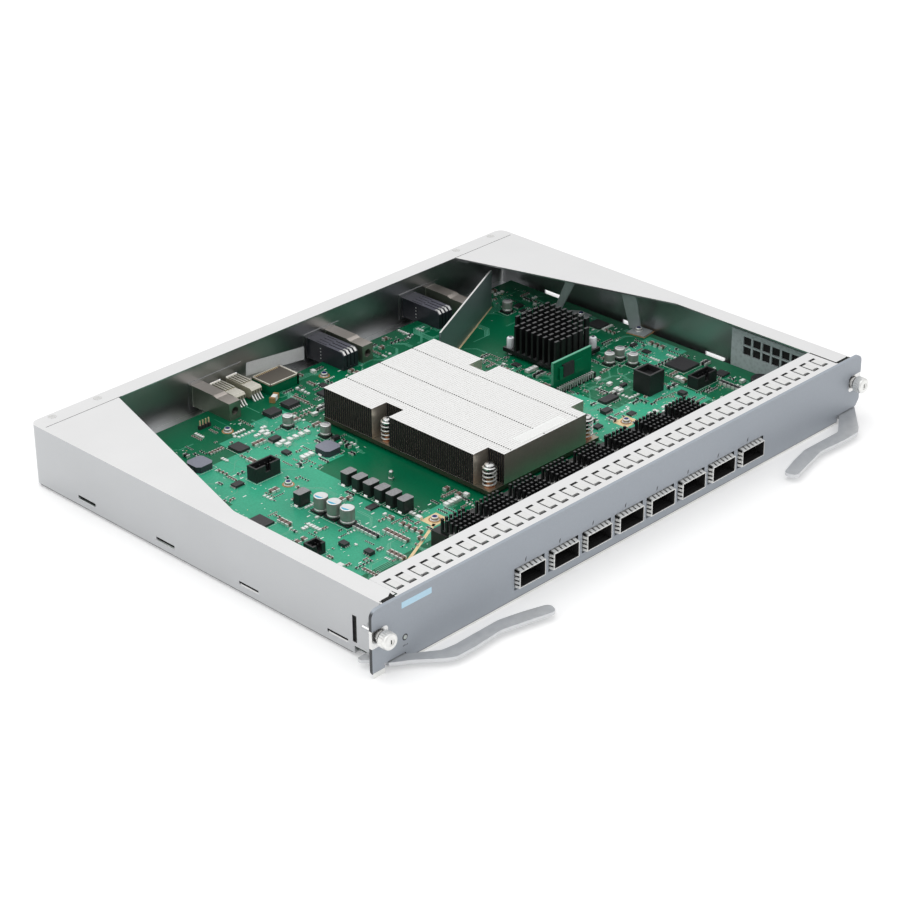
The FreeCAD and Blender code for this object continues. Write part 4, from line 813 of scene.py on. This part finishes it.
def make_special_parts():
    """Fuse, two power packages and a short pin row beside the rear connectors."""
    parts = Piece(WHITE, BRONZE, CHIP, SOLDER, GOLD)
    z = BOARD_TOP
    cx, cy, turn = -38.5, 250.5, math.radians(28)
    parts.block(cx, cy, 2.6, 1.5, z + 0.1, z + 3.0, 0, turn)
    for reach in (-3.2, 3.2):
        a, b = polar(reach, turn)
        parts.block(cx + a, cy + b, 0.9, 1.7, z + 0.05, z + 3.2, 1, turn)
    w, d, lead = 9.0, 7.5, 1.5
    for px, py in ((-56.5, 233.5), (-41.5, 234.5)):
        parts.box(px, px + w, py, py + d, z + 0.3, z + 2.6, 2)
        for k in range(5):
            a = px + 0.8 + k * 1.7
            for foot in (py - lead, py + d - 0.2):
                parts.box(a, a + 0.8, foot, foot + lead + 0.2, z + 0.04, z + 0.5, 3)
    for k in range(4):
        a, row = -93.5 + k * 2.2, 253.6
        parts.block(a, row, 0.9, 1.0, z, z + 2.3, 2)
        parts.block(a, row, 0.3, 0.3, z + 2.2, z + 5.5, 4)
    parts.build("power_parts")


# ---- sheet metal ----
# Each strap's name, the node it stands for, its four corners in plan (rear and front at the
# top, rear and front at the foot) and the outline of its foot.
STRAPS = (
    ("front_strap", "front_brace", (173.4, 163.6), (176.2, 153.9), (181.0, 162.0), (186.0, 157.0),
     [(176.8, 160.3), (178.8, 147.8), (189.1, 149.6), (188.0, 161.0)]),
    ("rear_strap", "rear_brace", (162.3, 198.8), (162.1, 191.4), (167.0, 214.0), (171.8, 211.8),
     [(166.0, 215.0), (165.5, 205.0), (170.5, 192.0), (180.0, 192.5), (180.5, 202.0), (172.5, 213.0)]))


def make_braces():
    """Twisted straps from the side flange down to feet screwed on the board."""
    sheet, lip = 0.9, 9
    low = BOARD_TOP + 1.0
    for name, node, rear_top, front_top, rear_low, front_low, foot in STRAPS:
        strap = Piece(STRAP)
        top = extent(node)[5] - 0.02
        corners = [(*rear_top, top), (*front_top, top), (*front_low, low), (*rear_low, low)]
        strap.loft([[(x + sheet, y, z) for x, y, z in corners], corners])
        strap.prism([rear_top, front_top, (front_top[0] + lip, front_top[1]),
                     (rear_top[0] + lip, rear_top[1])], top - sheet, top)
        strap.prism(foot, BOARD_TOP + 0.1, low)
        strap.build(name, replaces=[node], bevel=0.12)


def make_baffle():
    """Upright air baffle; its folded foot lies behind it."""
    ax, ay, bx, by = 147.0, 250.0, 57.5, 207.5
    length = math.hypot(bx - ax, by - ay)
    ux, uy = (bx - ax) / length, (by - ay) / length
    sheet, low, top = 1.0, BOARD_TOP + 0.05, extent("air_baffle")[5]
    plate = Piece(BAFFLE, CAGE)

    def spot(u, v):
        return ax + ux * u - uy * v, ay + uy * u + ux * v

    plate.prism([spot(0, 0), spot(length, 0), spot(length, sheet), spot(0, sheet)], low, top)
    plate.prism([spot(6, -4), spot(length - 6, -4), spot(length - 3, 0.1), spot(3, 0.1)],
                low, low + sheet)
    # A bright strip along the top edge: painted highlight.
    plate.prism([spot(0.3, -0.03), spot(length - 0.3, -0.03), spot(length - 0.3, sheet + 0.03),
                 spot(0.3, sheet + 0.03)], top - 0.35, top + 0.03, material=1)
    plate.build("baffle_plate", replaces=["air_baffle"], bevel=0.1)


# The rear wall's openings as x0, x1 and the height of their upper edge.
REAR_OPENINGS = ((-76.2, -38.0, 19.2), (16.0, 42.4, 19.2), (98.2, 130.0, 19.2))


def make_rear_liner():
    """Thin seal inside the rear wall that closes the openings round the connectors."""
    wall = extent("rear_panel")[3] - 1.0
    y0, y1 = wall - 0.45, wall - 0.15
    low, lap, fit = BOARD_TOP - 3, 1.5, 0.15
    blocks = []
    for node in ("guide_block_left", "power_connectors", "signal_connector", "guide_block_centre",
                 "backplane_connector_left", "backplane_connector_right", "guide_block_right"):
        blocks += [(b[0] - fit, b[1] + fit, b[5] + fit) for b in islands(node)]
    liner = Piece(ZINC)
    for x0, x1, top in REAR_OPENINGS:
        edge = x0 - lap
        for left, right, height in sorted(b for b in blocks if b[1] > x0 and b[0] < x1):
            if left > edge:
                liner.box(edge, left, y0, y1, low, top + lap)
            liner.box(max(left, edge), right, y0, y1, height, top + lap)
            edge = right
        if edge < x1 + lap:
            liner.box(edge, x1 + lap, y0, y1, low, top + lap)
    liner.build("rear_liner")


WINDOW_COUNT, WINDOW_PITCH = 41, 8.66
TAB_FIRST, TAB_PITCH, TAB_COUNT = 33.8, 67.0, 4     # the tray's tabs under the board's left edge


def make_seams():
    """Dark joints and slots of the folded sheets, painted shade in the gasket windows, a painted contact
    shadow along the foot of each side wall, and the shade between board and tabs.
    """
    x0, x1, _, _, _, top = extent("tray")
    low, high = top - 0.6, top + 0.03
    seams = Piece(DARK, ZINC)
    seam_y = extent("rear_panel")[3] - 11.7
    for left, right in ((x0 + 3, -135.0), (137.0, x1 - 3)):
        seams.box(left, right, seam_y - 0.16, seam_y + 0.16, top - 0.2, high)
    edge = x1 - 12.0
    seams.box(edge - 0.5, edge + 0.5, 3.0, 22.6, low, high)
    seams.prism([(edge, 2.1), (x1 - 0.3, 2.1), (x1 - 0.3, 3.0), (edge, 3.2)], low, high + 0.01)
    seams.prism([(x0 + 1.0, 2.1), (x0 + 10.0, 2.1), (x0 + 10.6, 6.6), (x0 + 7.5, 4.6), (x0 + 2.6, 4.6)],
                low, high)
    seams.box(x0 + 16.6, x0 + 18.8, 22.9, 23.6, low, high)
    seams.box(-edge, -edge + 0.7, 7.0, 23.0, low, top - 0.06, 1)
    add_windows(seams, top)
    for side in (-1, 1):
        # A dark strip along the foot of each side wall: painted contact shadow.
        seams.box(side * (x1 + 0.02), side * (x1 - 0.2), 23, 277, 0.02, 0.3)
        seams.box(side * (x1 - 1.05), side * (x1 - 1.3), 19.2, 23.4, BOARD_TOP + 0.1, 22.8)
    for k in range(TAB_COUNT):
        seams.block(x0 + 3.0, TAB_FIRST + TAB_PITCH * k, 1.9, 6.9, BOARD_TOP - 1.96, BOARD_TOP - 1.8)
    seams.build("sheet_seams")


def add_windows(seams, top):
    """Dark strips before and behind each window of the gasket strip, painted shade under the flange, and
    its bright side walls.
    """
    y0, y1 = 6.7, 15.3
    for k in range(WINDOW_COUNT):
        x = (k - (WINDOW_COUNT - 1) / 2) * WINDOW_PITCH
        for front, back in ((y0 - 0.85, y0), (y1, y1 + 1.45)):
            seams.box(x - 2.56, x + 2.56, front, back, top - 1.3, top - 0.35)
        for side in (-1, 1):
            seams.box(x + side * 2.27, x + side * 2.58, y0 + 0.05, y1 - 0.05, top - 1.3, top - 0.12, 1)


def make_vent_hole_shade():
    """Painted shade: a dark plate behind the square holes of the vent bracket."""
    x0, _, y0, y1, _, z1 = extent("vent_bracket")
    hole_shade = Piece(DARK)
    hole_shade.box(x0 + 1.05, x0 + 1.35, y0 + 2, y1 - 4, 12.0, z1 - 1.6)
    hole_shade.build("vent_hole_shade")


# ---- connectors ----
def make_power_sockets():
    """Two cream power sockets with open slots at the back and solder legs in front."""
    sockets = Piece(BEIGE, WELL, SOLDER)
    z = BOARD_TOP
    for x0, x1, y0, y1, z0, z1 in islands("power_connectors"):
        top = z1 - 0.9
        sockets.prism([(y0 + 2.2, z0 + 2.8), (y1 - 1, z0 + 1.6), (y1, z0 + 1.6), (y1, top),
                       (y0 + 1.4, top), (y0, top - 1.2), (y0, top - 3.4), (y0 + 1.4, top - 4.2)],
                      x0, x1, axis="x")
        pitch = (x1 - x0) / 4
        for k in range(4):
            a = x0 + (k + 0.5) * pitch
            sockets.box(a - 0.55, a + 0.55, y0 + 9, y1 - 3, top - 0.05, z1)
            # The dark patches on the front face stand for the open slots: painted shade.
            sockets.box(a - 0.6, a + 0.6, y0 - 0.04, y0 + 0.5, top - 3.2, top - 1.6, 1)
            sockets.prism([(y0 - 2.2, z + 0.05), (y0 - 0.6, z + 0.05), (y0 + 2.2, top - 4.4),
                           (y0 + 2.2, top - 3.8), (y0 + 1.4, top - 3.8), (y0 - 1.2, z + 0.9),
                           (y0 - 2.2, z + 0.5)], a - 0.4, a + 0.4, axis="x", material=2)
        # Dark lines between the ribs on top, and the dark block filling under the body: painted shade.
        for k in range(1, 4):
            a = x0 + k * pitch
            sockets.box(a - 0.45, a + 0.45, y0 + 10, y1 - 3, top - 0.04, top + 0.03, 1)
        sockets.box(x0 + 0.6, x1 - 0.6, y0 + 3.0, y1 - 2, z + 0.05, z0 + 4.4, 1)
    sockets.build("power_sockets", replaces=["power_connectors"], bevel=0.15)


def make_signal_socket():
    """Cream frame round a brown well, with a gold contact row along the back."""
    x0, x1, y0, y1, z0, z1 = extent("signal_connector")
    rear, rim, side_rim = y1 - 10.0, 0.9, 1.4
    socket = Piece(BEIGE, WELL, GOLD, MASK)
    socket.box(x0, x1, y0, rear, BOARD_TOP + 0.05, z1 - rim, 3)
    for a0, a1, b0, b1 in ((x0, x1, y0, y0 + rim), (x0, x0 + rim, y0, rear), (x1 - side_rim, x1, y0, rear),
                           (x0, x1, rear - rim, rear)):
        socket.box(a0, a1, b0, b1, z1 - 1.3, z1)
    socket.box(x0 + 0.8, x1 - 1.3, y0 + 0.8, rear - 0.8, z1 - 1.2, z1 - 0.25, 1)
    for k in range(14):
        a = x0 + 1.4 + k * 1.35
        socket.box(a, a + 0.6, rear - 2.2, rear - rim, z1 - 0.3, z1 - 0.02, 2)
    socket.box(x1 - 1.6, x1, y0, y0 + 1.6, BOARD_TOP + 0.05, z1 - 0.4)
    socket.box(x0, x1, rear, y1, z0 + 0.1, z0 + 4.3)
    socket.build("signal_socket", replaces=["signal_connector"], bevel=0.1)


def make_backplane_details():
    """Bright shield tips on the front edge, a dark rib behind each, and contact dots on the side."""
    details = Piece(CAGE, SLATE)
    for node in ("backplane_connector_left", "backplane_connector_right"):
        x0, x1, y0, y1, _, z1 = extent(node)
        pitch = (x1 - x0) / 4
        for k in range(4):
            a = x0 + (k + 0.5) * pitch
            details.prism([(y0 + 0.2, z1 - 2.1), (y0 + 0.1, z1 - 1.7), (y0 + 1.9, z1 + 0.1),
                           (y0 + 4.5, z1 + 0.12), (y0 + 4.5, z1 - 0.05), (y0 + 2.1, z1 - 0.1)],
                          a - 0.75, a + 0.75, axis="x")
            details.box(a - 0.3, a + 0.3, y0 + 16.5, y1 - 9, z1 - 0.05, z1 + 0.25, 1)
            details.box(x0 - 0.06, x0 + 0.1, y1 - 14.0, y1 - 13.2, 8.0 + 2.2 * k, 8.7 + 2.2 * k)
    details.build("shield_tips")


# ---- ports, labels and fasteners ----
def make_cages():
    """Sheet cages: bright springy mouth in front of the panel; the body behind it, a lining inside the
    mouth and a plate deep inside are dark with painted shade.
    """
    half, low, high, sheet, mouth = 9.8, BOARD_TOP, BOARD_TOP + 9.5, 0.6, 1.9
    for i, x in enumerate(PORTS, 1):
        y0, y1 = extent("cage_%d" % i)[2:4]
        cage = Piece(CAGE, CAGE_SHADE, DARK)
        # Bright mouth outside, then a dark lining inside it and the body behind it: the last two are
        # painted shade.
        for front, back, outside, inside, material in ((y0, mouth, 0, sheet * 0.6, 0),
                                                       (y0 + 0.35, mouth, sheet * 0.6, sheet, 2),
                                                       (mouth, y1, 0, sheet, 1)):
            for side in (-1, 1):
                cage.box(x + side * (half - outside), x + side * (half - inside), front, back,
                         low + outside, high - outside, material)
            for level, up in ((low, 1), (high, -1)):
                cage.box(x - half + inside, x + half - inside, front, back,
                         level + up * outside, level + up * inside, material)
        cage.box(x - half + sheet, x + half - sheet, y1 - 22, y1 - 21.5, low + sheet, high - sheet, 2)
        add_port_fingers(cage, x, half, low, high, y0)
        cage.build("port_cage_%d" % i, replaces=["cage_%d" % i])


def add_port_fingers(cage, x, half, low, high, y0):
    """Grounding fingers that slope from the cage's mouth out to the panel's opening."""
    thin, proud, root, tip, gap = 0.22, 1.45, 1.7, y0 + 0.15, 1.0
    side_count, top_count, shade = 4, 6, 0.12
    pitch = (high - low + 0.4) / side_count
    for side in (-1, 1):
        wall = x + side * half
        outline = [(wall, tip), (wall + side * thin, tip), (wall + side * proud, root), (wall, root)]
        for k in range(side_count):
            z0 = low - 0.2 + k * pitch
            cage.prism(outline[::-side], z0, z0 + pitch - gap)
        cage.box(wall, wall + side * shade, tip + 0.7, root, low, high, 2)
    pitch = 2 * half / top_count
    for level, side in ((high, 1), (low, -1)):
        outline = [(tip, level), (root, level), (root, level + side * proud), (tip, level + side * thin)]
        for k in range(top_count):
            a = x - half + k * pitch + gap / 2
            cage.prism(outline[::side], a, a + pitch - gap, axis="x")
        cage.box(x - half, x + half, tip + 0.7, root, level, level + side * shade, 2)


PRINT = (-0.03, 0.01)                # how far the print reaches before and behind the panel's face


def make_port_marks():
    """A small slanted mark above each port, and a ring and a mark by the status light."""
    marks = Piece(CHIP)
    for x in PORTS:
        marks.prism([(x - 3.4, 18.7), (x - 2.7, 19.3), (x - 2.2, 21.6), (x - 3.2, 20.6)], *PRINT, axis="y")
    light = extent("light_pipe")
    lx, lz = (light[0] + light[1]) / 2, light[5] - 1.8
    ring, dot = 1.55, 0.3
    for angle in circle(16):
        a, b = polar(ring, angle)
        marks.box(lx + a - dot, lx + a + dot, *PRINT, lz + b - dot, lz + b + dot)
    foot = lz - 5.0
    for k, height in enumerate((0.7, 1.0, 0.5, 0.9)):
        a = lx - 1.5 + 0.9 * k
        marks.prism([(a, foot), (a + 0.5, foot), (a + 0.5, foot + height), (a, foot + 0.4)], *PRINT,
                    axis="y")
    marks.build("panel_marks")


def make_tongue_tip():
    """Bare metal tip of the panel's left tongue, and the bright lower lip with its shade."""
    tip = Piece(CAGE, CAGE_SHADE)
    x0 = extent("front_panel")[0]
    left, right, back = x0 + 23.4, -x0 - 21.0, 0.02
    tip.prism([(x0 + 0.3, -1.4), (x0 + 1.2, -1.78), (x0 + 8.3, -1.78), (x0 + 8.3, 1.3), (x0 + 0.3, 1.3)],
              -0.12, back, axis="y")
    tip.box(left, right, -0.05, back, -1.74, -0.45)
    tip.box(left, right, -0.03, back, -0.4, -0.15, 1)
    tip.build("tongue_tip")


def make_labels():
    """Bare stickers: one on the panel, one inside the rear wall, one on the fins."""
    panel = Piece(LABEL)
    panel.box(-179.4, -158.5, -0.08, 0.02, 29.8, 33.3)
    panel.build("panel_sticker")
    wall = Piece(PAPER)
    rear = extent("rear_panel")[3] - 1.0
    wall.prism([(-33.0, 9.8), (18.0, 4.0), (18.8, 12.6), (-32.2, 18.4)], rear - 0.1, rear + 0.02, axis="y")
    wall.build("wall_sticker")
    top = extent("heatsink_fins")[5]
    plate = Piece(WHITE, FIN_METAL)
    x, y, half_x, half_y, border = 9.0, 80.5, 18.9, 3.5, 1.0
    plate.block(x, y, half_x, half_y, top - 0.05, top + 0.1)
    plate.block(x, y, half_x - border, half_y - border, top, top + 0.13, 1)
    plate.build("fin_sticker")


def make_thumbscrew(name, body):
    """Captive screw with a straight-knurled knob and a slotted face."""
    node = "thumbscrew_" + name
    x0, x1, y0, y1, z0, z1 = extent(node)
    x, z, r = (x0 + x1) / 2, (z0 + z1) / 2, (z1 - z0) / 2
    axis_foot, back = (x, 0, z), y0 + 6.6
    screw = Piece(CAGE, BLACK_METAL, ZINC)
    knob = []
    for k, angle in enumerate(circle(4 * 22)):        # four points for each ridge of the knurl
        a, b = polar(r - 0.02 - (0.0 if k % 4 in (0, 1) else 0.22), angle)
        knob.append((x + a, z + b))
    screw.prism(knob[::-1], y0 + 2.4, back - 1.2, axis="y")
    screw.turned([(r - 1.4, back - 1.3), (r - 1.1, back - 1.2), (r - 1.1, back)], axis_foot, 32, "y", 1)
    screw.turned([(2.0, y0 + 0.45), (2.1, y0 + 0.08), (2.6, y0), (r - 0.9, y0 + 0.12),
                  (r - 0.25, y0 + 0.7), (r - 0.1, y0 + 1.5), (r - 0.25, y0 + 2.5)], axis_foot, 36, "y")
    screw.turned([(1.5, y0 + 0.3), (1.9, y0 + 0.5)], axis_foot, 24, "y")
    screw.turned([(1.5, back - 1), (1.5, 5.9), (1.1, 5.9), (1.1, 6.7), (1.5, 6.7), (1.5, y1 - 0.5),
                  (1.1, y1)], axis_foot, 24, "y", 2)
    # The slot is a thin black plate on the face: painted shade of a recess.
    screw.box(x - 0.4, x + 0.4, y0 + 0.26, y0 + 0.31, z - 1.2, z + 1.2, 1)
    screw.build(name + "_thumbscrew", body, replaces=[node])


# ---- floor, light and camera ----
FLOOR_GLOW = 0.2
SKY_STRENGTH = 0.9
OVERHEAD_POWER, LEFT_POWER = 8, 2     # watts


def make_floor():
    """Pale ground that runs far behind the card."""
    size, low = 6.0, CAD_BOX[0].z
    mesh = bpy.data.meshes.new("floor")
    mesh.from_pydata([(-size, -size, low), (size, -size, low), (size, size, low), (-size, size, low)],
                     [], [(0, 1, 2, 3)])
    floor = bpy.data.objects.new("floor", mesh)
    bpy.context.scene.collection.objects.link(floor)
    mesh.materials.append(surface("floor_paper", (0.9, 0.9, 0.9), 0.0, (0.6, 0.7), 3, 0.01, 0.0,
                                  Emission_Color=(1, 1, 1, 1), Emission_Strength=FLOOR_GLOW))


def add_area_light(name, place, size, power):
    """A rectangular light that faces the frame's origin."""
    data = bpy.data.lights.new(name, "AREA")
    data.shape = "RECTANGLE"
    data.size, data.size_y = size
    data.energy = power
    light = bpy.data.objects.new(name, data)
    light.location = place
    light.rotation_euler = (-Vector(place)).to_track_quat("-Z", "Y").to_euler()
    bpy.context.scene.collection.objects.link(light)


def make_lights():
    """Soft overhead light: the sky is bright above and dim near the horizon."""
    world = bpy.data.worlds.new("studio")
    world.use_nodes = True
    background = world.node_tree.nodes["Background"].inputs
    background["Strength"].default_value = SKY_STRENGTH
    axes = split_axes(world, add_node(world, "ShaderNodeTexCoord").outputs["Generated"])
    shade = ramp(world, axes["Z"], [(0.0, (0.45, 0.46, 0.48)), (0.35, (1.0, 1.0, 1.0))])
    link(world, shade, background["Color"])
    bpy.context.scene.world = world
    bpy.context.scene.view_settings.view_transform = "Standard"
    add_area_light("overhead", (-0.3, 0.5, 1.6), (1.8, 1.8), OVERHEAD_POWER)
    add_area_light("left", (-1.5, 0.1, 0.5), (1.0, 0.8), LEFT_POWER)


CAMERA_PLACE = (-0.907084, -0.891956, 0.668925)
CAMERA_YAW, CAMERA_PITCH, CAMERA_ROLL = 0.793297, 0.485366, -0.0076695    # radians
CAMERA_LENS, CAMERA_SENSOR = 99.59, 36.0


def make_camera():
    """The camera faces along its yaw and pitch, and rolls about its own line of sight."""
    data = bpy.data.cameras.new("camera")
    data.lens = CAMERA_LENS
    data.sensor_width = CAMERA_SENSOR
    forward = Vector((math.sin(CAMERA_YAW) * math.cos(CAMERA_PITCH),
                      math.cos(CAMERA_YAW) * math.cos(CAMERA_PITCH), -math.sin(CAMERA_PITCH)))
    right = Vector((math.cos(CAMERA_YAW), -math.sin(CAMERA_YAW), 0))
    up = right.cross(forward)
    tilted_right = right * math.cos(CAMERA_ROLL) + up * math.sin(CAMERA_ROLL)
    tilted_up = up * math.cos(CAMERA_ROLL) - right * math.sin(CAMERA_ROLL)
    matrix = Matrix((tilted_right, tilted_up, -forward)).transposed().to_4x4()
    matrix.translation = CAMERA_PLACE
    camera = bpy.data.objects.new("camera", data)
    camera.matrix_world = matrix
    bpy.context.scene.collection.objects.link(camera)
    bpy.context.scene.camera = camera


make_camera()
make_floor()
make_lights()
dress_nodes()
make_fins()
make_springs()
make_spring_screws()
make_pin_sink()
make_push_pins()
make_riding_sinks()
fill_taken()
make_pours(random.Random(3))
make_gold_pads()
make_small_parts(random.Random(7))
make_traces(random.Random(11))
make_silkscreen(random.Random(5))
make_board_screw_heads()
make_cans("tall_capacitors", "tall_cans")
make_cans("small_capacitors", "small_cans")
make_inductor_joints()
make_daughter_details()
make_special_parts()
make_braces()
make_baffle()
make_rear_liner()
make_seams()
make_vent_hole_shade()
make_power_sockets()
make_signal_socket()
make_backplane_details()
make_cages()
make_port_marks()
make_tongue_tip()
make_labels()
make_thumbscrew("left", "left_screw")
make_thumbscrew("right", "right_screw")
